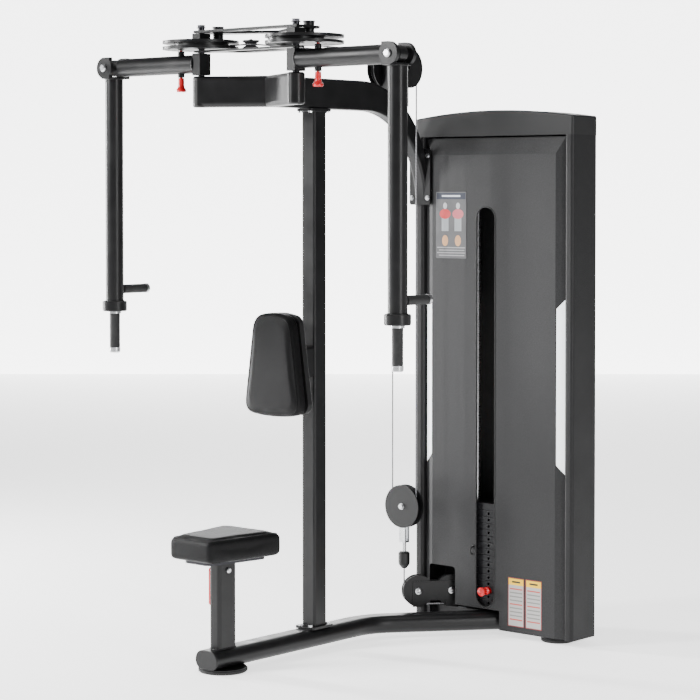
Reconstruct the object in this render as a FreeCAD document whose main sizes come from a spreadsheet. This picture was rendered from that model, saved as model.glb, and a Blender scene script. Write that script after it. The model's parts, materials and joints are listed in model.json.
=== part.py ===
import FreeCAD, Part

import math
import os
from types import SimpleNamespace

import Sketcher

# Pec deck machine: two arms that swing on upright shafts, their cables, and a weight stack.
#
# All lengths are millimetres. X runs across the machine, Y runs from the seat to the weight tower and
# Z is up from the floor. Sizes along Y are measured from the line between the two arm shafts, and
# place() moves each piece so that the row's origin is on the floor, in the middle of the footprint.

Vector = FreeCAD.Vector
Z_AXIS = Vector(0, 0, 1)
X_AXIS = Vector(1, 0, 0)
Y_AXIS = Vector(0, 1, 0)

os.makedirs("parts", exist_ok=True)
doc = FreeCAD.newDocument("PecDeck")

# ---------------------------------------------------------------- driving dimensions

DRIVING_SIZES = dict(
    # Base beam: a flat oval tube, bent sideways towards the tower.
    beam_above_floor=14,
    beam_width=96,
    beam_tall=60,
    beam_corner=29,
    beam_front=187,
    beam_bend_at=504,
    beam_bend_radius=220,
    beam_turn=40,
    tube_wall=3,
    cap_thick=8,
    # Feet
    foot_radius=78,
    foot_rubber=10,
    tower_foot_radius=56,
    # Seat
    seat_post_at=118,
    post_width=46,
    post_depth=80,
    post_corner=12,
    post_top=344,
    slide_gap=0.5,
    seat_tube_low=110,
    seat_plate_top=360,
    seat_plate_thick=8,
    seat_board_inset=32,
    seat_front_half=90,
    seat_back_half=128,
    seat_front_at=271,
    seat_back_at=26,
    seat_thick=77,
    seat_corner=28,
    lever_top=329,
    lever_long=122,
    lever_pivot=305,
    lever_thick=8,
    # Upright
    upright_at=317,
    upright_width=58,
    upright_depth=60,
    upright_corner=8,
    flange_thick=8,
    # Top beam and its arch down to the tower
    top_beam_top=1886,
    top_beam_tall=100,
    top_beam_width=50,
    arch_start=540,
    arch_outer_radius=352,
    arch_inner_start=566,
    arch_inner_radius=306,
    edge_round=9,
    yoke_round=15,
    # Crossbeam that carries the arm shafts
    shaft_reach=206,
    yoke_apex=112,
    yoke_half=28,
    shaft_radius=11,
    running_gap=0.05,
    # Arm heads, cams and the plates between them
    hub_width=34,
    hub_depth=50,
    hub_lift=4,
    hub_tall=70,
    spool_plate_lift=3,
    spool_plate_thick=6,
    cam_lift=5,
    cam_flange=9,
    cam_groove=10,
    cam_radius=124,
    cam_shift_out=20,
    cam_shift_back=18,
    drum_radius=88,
    tie_lift=24,
    tie_thick=8,
    shaft_above_tie=16,
    idler_out=198,
    idler_back=70,
    idler_radius=17,
    idler_tall=24,
    # Arms
    arm_lift=37,
    arm_tube=60,
    elbow_reach=616,
    link_end=574,
    ear_half_gap=33,
    ear_thick=14,
    ear_radius=35,
    ear_inner=26,
    elbow_pin=8,
    pin_reach=92,
    pin_sleeve=11,
    pin_stem=5,
    pin_clear=0.5,
    knob_tall=46,
    knob_drop=2,
    ring_tall=34,
    arm_long=746,
    ring_radius=41,
    grip_long=114,
    grip_radius=17.5,
    grip_end=18,
    side_grip_drop=707,
    side_grip_radius=15,
    side_grip_long=140,
    # Back pad
    pad_front_at=105,
    pad_thick=46,
    pad_board=26,
    pad_low=783,
    pad_high=1127,
    pad_top_half=86,
    pad_low_half=131,
    pad_corner=34,
    # Weight tower
    tower_front=880,
    tower_depth=141,
    tower_left=-25,
    tower_right=642,
    column_width=34,
    column_top=1703,
    tower_low=20,
    cap_side=63,
    cap_middle=87,
    cap_wall=4,
    column_round=11,
    panel_gap=5,
    panel_step=4,
    panel_bevel=34,
    panel_rise=13,
    panel_brow=58,
    panel_wall=2.5,
    panel_low=20,
    panel_drop=5,
    slot_left=239,
    slot_right=319,
    slot_low=92,
    slot_drop=241,
    pulley_gap_at=90,
    pulley_gap_width=118,
    pulley_gap_top=216,
    gap_corner=14,
    beam_gap_at=244,
    beam_gap_width=190,
    beam_gap_top=86,
    window_low=572,
    window_high=1154,
    window_half=15,
    placard_at=130,
    placard_level=1398.5,
    placard_width=132,
    placard_tall=229,
    notice_at=410.5,
    notice_pitch=73,
    notice_level=124,
    notice_width=67,
    notice_tall=166,
    rail_tall=60,
    rail_depth=60,
    # Weight stack
    stack_at=279,
    stack_width=236,
    stack_depth=94,
    plate_pitch=22,
    plate_gap=0.4,
    stack_low=92,
    resting_plates=2,
    lifted_plates=13,
    top_plate_thick=24,
    rod_spread=84,
    guide_rod=10,
    selector_rod=11,
    selector_pin=4.5,
    # Cable and pulleys
    cable=2.5,
    cable_gap=0.3,
    sheave_flange=57,
    sheave_wide=18,
    cover_radius=74,
    cover_thick=3,
    cover_gap=3,
    strand_half=52.5,
    strand_at=788,
    float_level=424,
    low_pitch=47.5,
    low_flange=52,
    low_cover=54,
    low_arm_half=34,
    low_leg_half=20,
    low_level=129,
    tower_sheave_drop=128,
    guide_bar_drop=217,
    guide_bar_thick=6,
    guide_spool_pitch=20,
    guide_spool_flange=27,
    guide_spool_back=92,
    axle=6,
)

sheet = doc.addObject("Spreadsheet::Sheet", "Sizes")
for row, (alias, number) in enumerate(DRIVING_SIZES.items(), start=1):
    sheet.set(f"A{row}", str(number))
    sheet.setAlias(f"A{row}", alias)
doc.recompute()


class Size:
    """A number read from the sheet, with the expression that gives it."""

    def __init__(self, value, formula=None):
        self.value = float(value)
        self.formula = formula or repr(float(value))

    def __float__(self):
        return self.value

    def __add__(self, other):
        other = as_size(other)
        return Size(self.value + other.value, f"({self.formula} + {other.formula})")

    def __sub__(self, other):
        other = as_size(other)
        return Size(self.value - other.value, f"({self.formula} - {other.formula})")

    def __mul__(self, other):
        other = as_size(other)
        return Size(self.value * other.value, f"({self.formula} * {other.formula})")

    def __truediv__(self, other):
        other = as_size(other)
        return Size(self.value / other.value, f"({self.formula} / {other.formula})")

    def __neg__(self):
        return Size(-self.value, f"(0 - {self.formula})")

    def __rsub__(self, other):
        return as_size(other) - self

    __radd__ = __add__
    __rmul__ = __mul__


def as_size(number):
    return number if isinstance(number, Size) else Size(number)


def root(size):
    return Size(math.sqrt(size.value), f"sqrt({size.formula})")


def sine(size):
    return Size(math.sin(math.radians(size.value)), f"sin({size.formula} * 1 deg)")


def cosine(size):
    return Size(math.cos(math.radians(size.value)), f"cos({size.formula} * 1 deg)")


D = SimpleNamespace(**{name: Size(getattr(sheet, name), f"Sizes.{name}") for name in DRIVING_SIZES})

# ---------------------------------------------------------------- stations worked out from them

tower_back = D.tower_front + D.tower_depth
tower_middle = D.tower_front + D.tower_depth / 2
tower_centre = (D.tower_left + D.tower_right) / 2
MIDDLE_Y = (float(tower_back) - float(D.seat_front_at)) / 2

beam_top = D.beam_above_floor + D.beam_tall
top_beam_low = D.top_beam_top - D.top_beam_tall
arch_end = D.tower_front - D.flange_thick
hub_low = D.top_beam_top + D.hub_lift
hub_high = hub_low + D.hub_tall
spool_plate_low = hub_high + D.spool_plate_lift
cam_low = spool_plate_low + D.spool_plate_thick + D.cam_lift
cam_high = cam_low + 2 * D.cam_flange + D.cam_groove
cable_level = (cam_low + cam_high) / 2
tie_low = cam_high + D.tie_lift
shaft_top = tie_low + D.shaft_above_tie
idler_top = tie_low + D.idler_tall
arm_level = hub_low + D.arm_lift
knob_high = D.top_beam_top - D.knob_drop
knob_low = knob_high - D.knob_tall
ear_low = arm_level - D.ear_radius
ring_high = ear_low - D.arm_long
ring_low = ring_high - D.ring_tall
grip_low = ring_low - 8 - D.grip_long
grip_end_low = grip_low - D.grip_end
side_grip_level = ear_low - D.side_grip_drop
sheave_level = cable_level - D.strand_half
sheave_at = D.strand_at - D.strand_half
panel_high = D.column_top - D.panel_drop
slot_high = D.column_top - D.slot_drop
guide_bar_top = D.column_top - D.guide_bar_drop
tower_sheave_level = D.column_top - D.tower_sheave_drop
rail_at = tower_middle
stack_top = D.stack_low + (D.resting_plates + D.lifted_plates) * D.plate_pitch
column_inside_left = D.tower_left + D.column_width
column_inside_right = D.tower_right - D.column_width

beam_heading = math.radians(float(D.beam_turn))
HEADING = Vector(math.sin(beam_heading), math.cos(beam_heading), 0)
rides = D.cable + D.cable_gap
rise_run = (tower_middle - D.strand_at) / cosine(D.beam_turn)
second_pulley = rise_run - D.low_pitch
rise_at = rise_run * sine(D.beam_turn)
big_radius = (D.stack_at - rise_at) / 2

NODES = []

# ---------------------------------------------------------------- helpers


def place(thing, x, y, z, axis=Z_AXIS, angle=0):
    """Put a piece at x, z and at y from the shaft line, turned by angle degrees about axis."""
    base = Vector(float(x), float(y) - MIDDLE_Y, float(z))
    thing.Placement = FreeCAD.Placement(base, FreeCAD.Rotation(axis, float(angle)))
    return thing


def bind(thing, **sizes):
    for name, value in sizes.items():
        if isinstance(value, Size):
            thing.setExpression(name, value.formula)
        setattr(thing, name, float(value))
    return thing


def node(label, thing):
    """Keep a finished piece under the name that its file gets."""
    thing.Label = label
    NODES.append(thing)
    return thing


def box(width, depth, tall, x, y, z):
    """A block centred on x and y that stands on z."""
    block = bind(doc.addObject("Part::Box", "Block"), Length=width, Width=depth, Height=tall)
    return place(block, float(x) - float(width) / 2, float(y) - float(depth) / 2, z)


def rod(radius, long, x, y, z, axis=Z_AXIS):
    """A cylinder that starts at x, y, z and runs along axis."""
    cylinder = bind(doc.addObject("Part::Cylinder", "Rod"), Radius=radius, Height=long)
    turn = FreeCAD.Rotation(Z_AXIS, axis)
    place(cylinder, x, y, z)
    cylinder.Placement.Rotation = turn
    return cylinder


def fuse(*pieces):
    joined = doc.addObject("Part::MultiFuse", "Fuse")
    joined.Shapes = list(pieces)
    joined.Refine = True
    return joined


def group(*pieces):
    """Separate solids that share one node."""
    together = doc.addObject("Part::Compound", "Group")
    together.Links = list(pieces)
    return together


def common(first, second):
    result = doc.addObject("Part::Common", "Overlap")
    result.Base = first
    result.Tool = second
    return result


def cut(base, *tools):
    for tool in tools:
        piece = doc.addObject("Part::Cut", "Cut")
        piece.Base = base
        piece.Tool = tool
        base = piece
    return base


def new_body():
    return doc.addObject("PartDesign::Body", "Body")


def sketch_on(body, plane="XY_Plane"):
    sketch = body.newObject("Sketcher::SketchObject", "Sketch")
    support = [origin for origin in body.Origin.OriginFeatures if origin.Role == plane]
    sketch.AttachmentSupport = [(support[0], "")]
    sketch.MapMode = "FlatFace"
    return sketch


def hold(sketch, kind, value, *where):
    index = sketch.addConstraint(Sketcher.Constraint(kind, *where, float(value)))
    if isinstance(value, Size):
        sketch.setExpression(f"Constraints[{index}]", value.formula)


def pin_point(sketch, edge, end, x, y):
    """Tie one end of an edge to the sketch's origin by its two distances."""
    for kind, value, axis_line in (("DistanceX", x, -2), ("DistanceY", y, -1)):
        if float(value) == 0:
            sketch.addConstraint(Sketcher.Constraint("PointOnObject", edge, end, axis_line))
        else:
            hold(sketch, kind, value, -1, 1, edge, end)


def circle(sketch, radius, x=0, y=0):
    centre = Vector(float(x), float(y), 0)
    edge = sketch.addGeometry(Part.Circle(centre, Z_AXIS, float(radius)))
    pin_point(sketch, edge, 3, x, y)
    hold(sketch, "Radius", radius, edge)


def outline(sketch, corners, bulges=None):
    """A closed outline through corners. bulges gives the centre of each side that is an arc."""
    bulges = bulges or {}
    ends = [Vector(float(x), float(y), 0) for x, y in corners]
    count = len(ends)
    starts = []
    for index, start in enumerate(ends):
        stop = ends[(index + 1) % count]
        if index in bulges:
            (x, y), turn = bulges[index]
            edge, first = add_arc(sketch, Vector(float(x), float(y), 0), start, stop, turn)
        else:
            edge = sketch.addGeometry(Part.LineSegment(start, stop))
            first = 1
        starts.append((edge, first))
    for index, (edge, first) in enumerate(starts):
        following, opening = starts[(index + 1) % count]
        last = 3 - first
        sketch.addConstraint(Sketcher.Constraint("Coincident", edge, last, following, opening))
        pin_point(sketch, edge, first, *corners[index])
    for index, ((x, y), turn) in bulges.items():
        start = corners[index]
        reach = root((as_size(start[0]) - x) * (as_size(start[0]) - x)
                     + (as_size(start[1]) - y) * (as_size(start[1]) - y))
        hold(sketch, "Radius", reach, starts[index][0])


def add_arc(sketch, centre, start, stop, turn):
    """An arc from start to stop, anticlockwise when turn is 1. Returns the edge and its first end."""
    spoke = start - centre
    near = math.atan2(spoke.y, spoke.x)
    spoke_end = stop - centre
    far = math.atan2(spoke_end.y, spoke_end.x)
    if turn < 0:
        near, far = far, near
    whole = Part.Circle(centre, Z_AXIS, spoke.Length)
    edge = sketch.addGeometry(Part.ArcOfCircle(whole, near, far))
    return edge, 1 if turn > 0 else 2


def rounded(sketch, width, tall, corner, x=0, y=0):
    """A rectangle about x, y with round corners."""
    side = as_size(width) / 2
    half = as_size(tall) / 2
    x, y = as_size(x), as_size(y)
    inner_x = side - corner
    inner_y = half - corner
    corners = []
    bulges = {}
    for sign_x, sign_y in ((1, -1), (1, 1), (-1, 1), (-1, -1)):
        low = (x + sign_x * inner_x, y + sign_y * half)
        high = (x + sign_x * side, y + sign_y * inner_y)
        first, second = (low, high) if sign_x * sign_y < 0 else (high, low)
        bulges[len(corners)] = ((x + sign_x * inner_x, y + sign_y * inner_y), 1)
        corners.extend([first, second])
    outline(sketch, corners, bulges)


def pad(body, sketch, long, both_ways=False, backwards=False):
    feature = body.newObject("PartDesign::Pad", "Pad")
    feature.Profile = sketch
    bind(feature, Length=long)
    feature.SideType = "Symmetric" if both_ways else "One side"
    feature.Reversed = backwards
    return feature


def pocket(body, sketch, deep=None):
    """Cut a sketch out of its body, right through or by deep on both sides of the sketch."""
    doc.recompute()
    before = body.Shape.Volume
    feature = body.newObject("PartDesign::Pocket", "Pocket")
    feature.Profile = sketch
    feature.SideType = "Symmetric"
    if deep is None:
        feature.Type = "ThroughAll"
    else:
        bind(feature, Length=deep)
    doc.recompute()
    if body.Shape.Volume >= before:
        raise RuntimeError(f"a pocket in {body.Label} cuts nothing")
    return feature


def soften(body, radius, chosen, kind="PartDesign::Fillet"):
    """Fillet or chamfer the edges of a body that chosen() accepts."""
    doc.recompute()
    tip = body.Tip
    names = [f"Edge{number}" for number, edge in enumerate(tip.Shape.Edges, start=1) if chosen(edge)]
    if not names:
        raise RuntimeError(f"no edge to round on {body.Label}")
    feature = body.newObject(kind, "Soften")
    feature.Base = (tip, names)
    size_name = "Radius" if kind == "PartDesign::Fillet" else "Size"
    bind(feature, **{size_name: radius})
    return feature


def runs_along(axis):
    """A test for straight edges along one local axis."""
    def chosen(edge):
        if edge.Curve.TypeId != "Part::GeomLine":
            return False
        return abs(edge.tangentAt(edge.FirstParameter).dot(axis)) > 0.999
    return chosen


def lies_at(axis, *places):
    """A test for edges that lie in a plane square to one local axis."""
    def chosen(edge):
        spots = [point.dot(axis) for point in (edge.valueAt(edge.FirstParameter),
                                               edge.valueAt((edge.FirstParameter + edge.LastParameter) / 2),
                                               edge.valueAt(edge.LastParameter))]
        return any(all(abs(spot - float(place)) < 0.01 for spot in spots) for place in places)
    return chosen


def round_bar(profile_radius, wall, long):
    """A round tube that stands on its local origin."""
    body = new_body()
    sketch = sketch_on(body)
    circle(sketch, profile_radius)
    circle(sketch, as_size(profile_radius) - wall)
    pad(body, sketch, long)
    return body


def square_bar(width, depth, corner, wall, long):
    """A rectangular tube with round corners that stands on its local origin."""
    body = new_body()
    sketch = sketch_on(body)
    rounded(sketch, width, depth, corner)
    rounded(sketch, as_size(width) - 2 * wall, as_size(depth) - 2 * wall, as_size(corner) - wall)
    pad(body, sketch, long)
    return body


def plate(width, depth, corner, thick, holes=(), hole_radius=4.2):
    """A plate with round corners and round holes, lying on its local origin."""
    body = new_body()
    sketch = sketch_on(body)
    rounded(sketch, width, depth, corner)
    for x, y in holes:
        circle(sketch, hole_radius, x, y)
    pad(body, sketch, thick)
    return body


def turned(profile):
    """A solid of revolution about local Z from a profile of (radius, height) corners."""
    body = new_body()
    sketch = sketch_on(body, "XZ_Plane")
    outline(sketch, profile)
    feature = body.newObject("PartDesign::Revolution", "Revolution")
    feature.Profile = sketch
    feature.ReferenceAxis = (sketch, ["V_Axis"])
    feature.Angle = 360
    return body


def stand_across(body, x, y, z, axis):
    """Place a turned body with its local Z along axis."""
    place(body, x, y, z)
    body.Placement.Rotation = FreeCAD.Rotation(Z_AXIS, axis)
    return body


def sheave(groove, flange, wide, bore):
    """A grooved pulley about local Z, centred on its own width."""
    half = as_size(wide) / 2
    lip = half / 3
    profile = [
        (bore, -half), (flange, -half), (flange, lip - half), (groove, -lip / 2),
        (groove, lip / 2), (flange, half - lip), (flange, half), (bore, half),
    ]
    return turned(profile)


def bolt(radius, x, y, z, axis):
    """A hexagon head with its washer, seated on x, y, z."""
    head = doc.addObject("Part::Prism", "Head")
    head.Polygon = 6
    head.Circumradius = float(radius) * 1.8
    head.Height = float(radius) * 1.2
    washer = doc.addObject("Part::Cylinder", "Washer")
    washer.Radius = float(radius) * 2.2
    washer.Height = float(radius) * 0.3
    for piece, lift in ((washer, 0), (head, float(radius) * 0.3)):
        seat = Vector(float(x), float(y), float(z)) + axis * lift
        place(piece, *seat)
        piece.Placement.Rotation = FreeCAD.Rotation(Z_AXIS, axis)
    return fuse(washer, head)


def cable_along(label, route, radii):
    """A cable through the points of route, with a tangent arc of its own radius at each corner."""
    points = [Vector(*(float(number) for number in point)) - Vector(0, MIDDLE_Y, 0) for point in route]
    edges = []
    start = points[0]
    for before, corner, after, radius in zip(points, points[1:], points[2:], radii):
        back = (before - corner).normalize()
        onward = (after - corner).normalize()
        half_turn = (math.pi - back.getAngle(onward)) / 2
        setback = float(radius) * math.tan(half_turn)
        towards_centre = (back + onward).normalize()
        enters = corner + back * setback
        leaves = corner + onward * setback
        centre = corner + towards_centre * (float(radius) / math.cos(half_turn))
        middle = centre - towards_centre * float(radius)
        if (enters - start).Length > 0.05:
            edges.append(Part.LineSegment(start, enters).toShape())
        else:
            enters = start
        edges.append(Part.Arc(enters, middle, leaves).toShape())
        start = leaves
    if (points[-1] - start).Length > 0.05:
        edges.append(Part.LineSegment(start, points[-1]).toShape())
    path = Part.Wire(edges)
    heading = points[1] - points[0]
    rim = Part.Wire(Part.makeCircle(float(D.cable), points[0], heading))
    solid = path.makePipeShell([rim], True, False)
    expected = math.pi * float(D.cable) ** 2 * path.Length
    if abs(solid.Volume - expected) > 0.01 * expected:
        raise RuntimeError(f"{label} is not a clean tube")
    print(label, "length", round(path.Length), "radii", [round(float(radius), 1) for radius in radii])
    piece = doc.addObject("Part::Feature", "Cable")
    piece.Shape = solid
    return piece


# ---------------------------------------------------------------- base, feet and upright


def base_beam():
    """Flat oval tube: straight from the front, bent towards the stack, cut off at the tower's rail."""
    body = new_body()
    turn = D.beam_turn
    bend_y = D.beam_bend_at + D.beam_front
    after_x = D.beam_bend_radius * (1 - cosine(turn))
    after_y = bend_y + D.beam_bend_radius * sine(turn)
    rest = (rail_at + D.beam_front + D.beam_width - after_y) / cosine(turn)
    end = (after_x + rest * sine(turn), after_y + rest * cosine(turn))
    path = sketch_on(body)
    first = path.addGeometry(Part.LineSegment(Vector(0, 0, 0), Vector(0, float(bend_y), 0)))
    centre = Vector(float(D.beam_bend_radius), float(bend_y), 0)
    bent = Vector(float(after_x), float(after_y), 0)
    arc, arc_start = add_arc(path, centre, Vector(0, float(bend_y), 0), bent, -1)
    last = path.addGeometry(Part.LineSegment(bent, Vector(float(end[0]), float(end[1]), 0)))
    pin_point(path, first, 1, 0, 0)
    pin_point(path, first, 2, 0, bend_y)
    path.addConstraint(Sketcher.Constraint("Coincident", first, 2, arc, arc_start))
    path.addConstraint(Sketcher.Constraint("Coincident", last, 1, arc, 3 - arc_start))
    pin_point(path, last, 1, after_x, after_y)
    pin_point(path, last, 2, *end)
    hold(path, "Radius", D.beam_bend_radius, arc)
    profile = sketch_on(body, "XZ_Plane")
    rounded(profile, D.beam_width, D.beam_tall, D.beam_corner)
    wall = D.tube_wall
    rounded(profile, D.beam_width - 2 * wall, D.beam_tall - 2 * wall, D.beam_corner - wall)
    pipe = body.newObject("PartDesign::AdditivePipe", "Pipe")
    pipe.Profile = profile
    pipe.Spine = (path, ["Edge1", "Edge2", "Edge3"])
    rail_front = rail_at - D.rail_depth / 2 + D.beam_front
    mitre = sketch_on(body)
    far = rail_front + 3 * D.beam_width
    outline(mitre, [(after_x, rail_front), (end[0] + D.beam_width, rail_front),
                    (end[0] + D.beam_width, far), (after_x, far)])
    pocket(body, mitre)
    place(body, 0, -D.beam_front, D.beam_above_floor + D.beam_tall / 2)
    node("base_beam", body)


def base_beam_cap():
    body = new_body()
    sketch = sketch_on(body, "XZ_Plane")
    rounded(sketch, D.beam_width, D.beam_tall, D.beam_corner)
    pad(body, sketch, D.cap_thick)
    soften(body, D.cap_thick / 2, lies_at(Y_AXIS, -D.cap_thick))
    place(body, 0, -D.beam_front, D.beam_above_floor + D.beam_tall / 2)
    node("base_beam_cap", body)


def feet():
    """Round feet: rubber discs under steel plates that touch the beam and the tower's rail."""
    steel = D.beam_above_floor - D.foot_rubber
    lip = D.foot_rubber / 3
    spread = (D.tower_right - D.tower_left) / 2 - D.column_width - D.tower_foot_radius - 17
    places = [(D.foot_radius, 0, -D.seat_post_at)]
    places += [(D.tower_foot_radius, tower_centre + sign * spread, rail_at) for sign in (-1, 1)]
    rubbers = []
    plates = []
    for radius, x, y in places:
        profile = [(0, 0), (radius - lip, 0), (radius, lip), (radius, D.foot_rubber), (0, D.foot_rubber)]
        rubber = turned(profile)
        rubbers.append(place(rubber, x, y, 0))
        backing = turned([(0, 0), (radius - lip, 0), (radius - lip, steel), (0, steel)])
        plates.append(place(backing, x, y, D.foot_rubber))
    node("foot_rubbers", group(*rubbers))
    return plates


def main_upright():
    flange = D.flange_thick
    low = beam_top + flange
    high = top_beam_low - flange
    tube = square_bar(D.upright_width, D.upright_depth, D.upright_corner, D.tube_wall, high - low)
    node("main_upright", place(tube, 0, D.upright_at, low))
    wide = D.upright_width + 24
    deep = D.upright_depth + 44
    bolt_x = D.upright_width / 2
    bolt_y = D.upright_depth / 2 + 12
    holes = [(sign_x * (bolt_x - 8), sign_y * bolt_y) for sign_x in (1, -1) for sign_y in (1, -1)]
    foot_plate = place(plate(wide, deep, 10, flange, holes), 0, D.upright_at, beam_top)
    head_plate = place(plate(D.upright_width + 10, deep, 10, flange, holes), 0, D.upright_at, high)
    return holes, [foot_plate, head_plate]


# ---------------------------------------------------------------- seat


def seat():
    y = -D.seat_post_at
    post = square_bar(D.post_width, D.post_depth, D.post_corner, D.tube_wall, D.post_top - beam_top)
    lever_y = y - D.post_depth / 2 + 18
    pin_hole = rod(4.2, D.post_width, -D.post_width, lever_y, D.lever_pivot, X_AXIS)
    node("seat_post", cut(place(post, 0, y, beam_top), pin_hole))

    bush_wall = D.tube_wall
    bush = square_bar(D.post_width, D.post_depth, D.post_corner, bush_wall, 8)
    node("seat_post_bush", place(bush, 0, y, D.post_top))

    inner_width = D.post_width - 2 * (D.tube_wall + D.slide_gap)
    inner_depth = D.post_depth - 2 * (D.tube_wall + D.slide_gap)
    inner_corner = D.post_corner - D.tube_wall - D.slide_gap
    plate_low = D.seat_plate_top - D.seat_plate_thick
    sliding = square_bar(inner_width, inner_depth, inner_corner, 2.5, plate_low - D.seat_tube_low)
    place(sliding, 0, y, D.seat_tube_low)
    seat_long = D.seat_front_at + D.seat_back_at
    seat_y = (D.seat_back_at - D.seat_front_at) / 2
    inset = D.seat_board_inset
    board = place(seat_outline(seat_long - 2 * inset, inset, D.seat_plate_thick), 0, seat_y, plate_low)
    node("seat_slide", group(sliding, board))
    cushion = seat_outline(seat_long, 0, D.seat_thick)
    soften(cushion, 10, lies_at(Z_AXIS, D.seat_thick))
    node("seat_cushion", place(cushion, 0, seat_y, D.seat_plate_top))

    pin_start = -D.post_width / 2 - D.lever_thick - 4
    lever_pin = rod(4, D.lever_thick + D.tube_wall + 3.9, pin_start, lever_y, D.lever_pivot, X_AXIS)
    pin_head = rod(7, 3, pin_start, lever_y, D.lever_pivot, X_AXIS)
    lever = new_body()
    sketch = sketch_on(lever, "YZ_Plane")
    above = D.lever_top - D.lever_pivot
    half = 11
    rounded(sketch, 2 * half, D.lever_long, half - 1, 0, above - D.lever_long / 2)
    circle(sketch, 4.1)
    pad(lever, sketch, D.lever_thick)
    soften(lever, 2, lies_at(X_AXIS, 0, D.lever_thick))
    node("seat_lever", place(lever, -D.post_width / 2 - D.lever_thick - 0.6, lever_y, D.lever_pivot))

    bush_x = D.post_width / 2
    collar = turned([(0, 0), (9, 0), (9, 5), (6, 8), (0, 8)])
    stand_across(collar, bush_x, y, D.lever_top - 8, X_AXIS)
    return [fuse(lever_pin, pin_head), collar]


def seat_outline(long, inset, thick):
    """A trapezoid, narrow at the front, with round corners."""
    body = new_body()
    sketch = sketch_on(body)
    half = as_size(long) / 2
    front = D.seat_front_half - inset
    back = D.seat_back_half - inset
    outline(sketch, [(-front, -half), (front, -half), (back, half), (-back, half)])
    pad(body, sketch, thick)
    soften(body, D.seat_corner, runs_along(Z_AXIS))
    return body


# ---------------------------------------------------------------- back pad


def back_pad():
    middle = (D.pad_low + D.pad_high) / 2
    board_at = D.pad_front_at + D.pad_thick
    cushion = pad_outline(0, D.pad_thick)
    soften(cushion, 16, lies_at(Y_AXIS, -D.pad_thick))
    node("back_pad_cushion", place(cushion, 0, board_at, middle))
    board = pad_outline(5, D.pad_board)
    soften(board, 9, lies_at(Y_AXIS, 0))
    node("back_pad_board", place(board, 0, board_at + D.pad_board, middle))
    bracket_start = board_at + D.pad_board
    bracket_end = D.upright_at - D.upright_depth / 2
    spread = plate(90, 200, 12, 6, [(sign_x * 34, sign_y * 86) for sign_x in (1, -1) for sign_y in (1, -1)])
    place(spread, 0, bracket_start + 6, middle, X_AXIS, 90)
    arm = square_bar(50, 100, 8, D.tube_wall, bracket_end - bracket_start - 6)
    place(arm, 0, bracket_end, middle, X_AXIS, 90)
    node("back_pad_bracket", fuse(spread, arm))


def pad_outline(inset, thick):
    """A tall trapezoid, wide at the bottom, with round corners and bowed ends, in the XZ plane."""
    body = new_body()
    sketch = sketch_on(body, "XZ_Plane")
    half = (D.pad_high - D.pad_low) / 2 - inset
    bow = 14
    top = D.pad_top_half - inset
    low = D.pad_low_half - inset
    top_dome = (top * top - bow * bow) / (2 * bow)
    low_dome = (low * low - bow * bow) / (2 * bow)
    corners = [(-low, bow - half), (low, bow - half), (top, half - bow), (-top, half - bow)]
    centres = {0: ((0, bow - half + low_dome), 1), 2: ((0, half - bow - top_dome), 1)}
    outline(sketch, corners, centres)
    pad(body, sketch, thick)
    soften(body, D.pad_corner, runs_along(Y_AXIS))
    return body


# ---------------------------------------------------------------- top beam and yoke


def arch_profile(sketch, inset, front, back):
    """Side view of the top beam: level, then curving down to the tower, set in by inset."""
    outer = D.arch_outer_radius - inset
    inner = D.arch_inner_radius + inset
    outer_y = D.arch_start
    outer_z = D.top_beam_top - D.arch_outer_radius
    inner_y = D.arch_inner_start
    inner_z = top_beam_low - D.arch_inner_radius
    outer_end = outer_z + root(outer * outer - (back - outer_y) * (back - outer_y))
    inner_end = inner_z + root(inner * inner - (back - inner_y) * (back - inner_y))
    corners = [(front, D.top_beam_top - inset), (front, top_beam_low + inset), (inner_y, top_beam_low + inset),
               (back, inner_end), (back, outer_end), (outer_y, D.top_beam_top - inset)]
    outline(sketch, corners, {2: ((inner_y, inner_z), -1), 4: ((outer_y, outer_z), 1)})


def top_beam(yoke_envelope):
    body = new_body()
    arch_profile(side := sketch_on(body, "YZ_Plane"), 0, D.yoke_apex, arch_end)
    pad(body, side, D.top_beam_width, both_ways=True)
    half = float(D.top_beam_width) / 2
    on_side = lies_at(X_AXIS, half, -half)
    front = float(D.yoke_apex)
    back = float(arch_end)

    def long_edge(edge):
        spots = [point.y for point in (vertex.Point for vertex in edge.Vertexes)]
        upright = any(all(abs(spot - end) < 0.01 for spot in spots) for end in (front, back))
        return on_side(edge) and not upright

    soften(body, D.edge_round, long_edge)
    arch_profile(hollow := sketch_on(body, "YZ_Plane"), D.tube_wall, D.yoke_apex - 1, arch_end + 0.2)
    pocket(body, hollow, D.top_beam_width - 2 * D.tube_wall)
    place(body, 0, 0, 0)
    node("top_beam", cut(body, yoke_envelope))

    flange = new_body()
    sketch = sketch_on(flange, "XZ_Plane")
    middle = (arch_low() + arch_high()) / 2
    tall = arch_high() - arch_low() + 24
    rounded(sketch, D.top_beam_width + 40, tall, 8, 0, middle)
    pad(flange, sketch, D.flange_thick)
    return place(flange, 0, D.tower_front, 0)


def arch_low():
    inner_z = top_beam_low - D.arch_inner_radius
    run = arch_end - D.arch_inner_start
    return inner_z + root(D.arch_inner_radius * D.arch_inner_radius - run * run)


def arch_high():
    outer_z = D.top_beam_top - D.arch_outer_radius
    run = arch_end - D.arch_start
    return outer_z + root(D.arch_outer_radius * D.arch_outer_radius - run * run)


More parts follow.
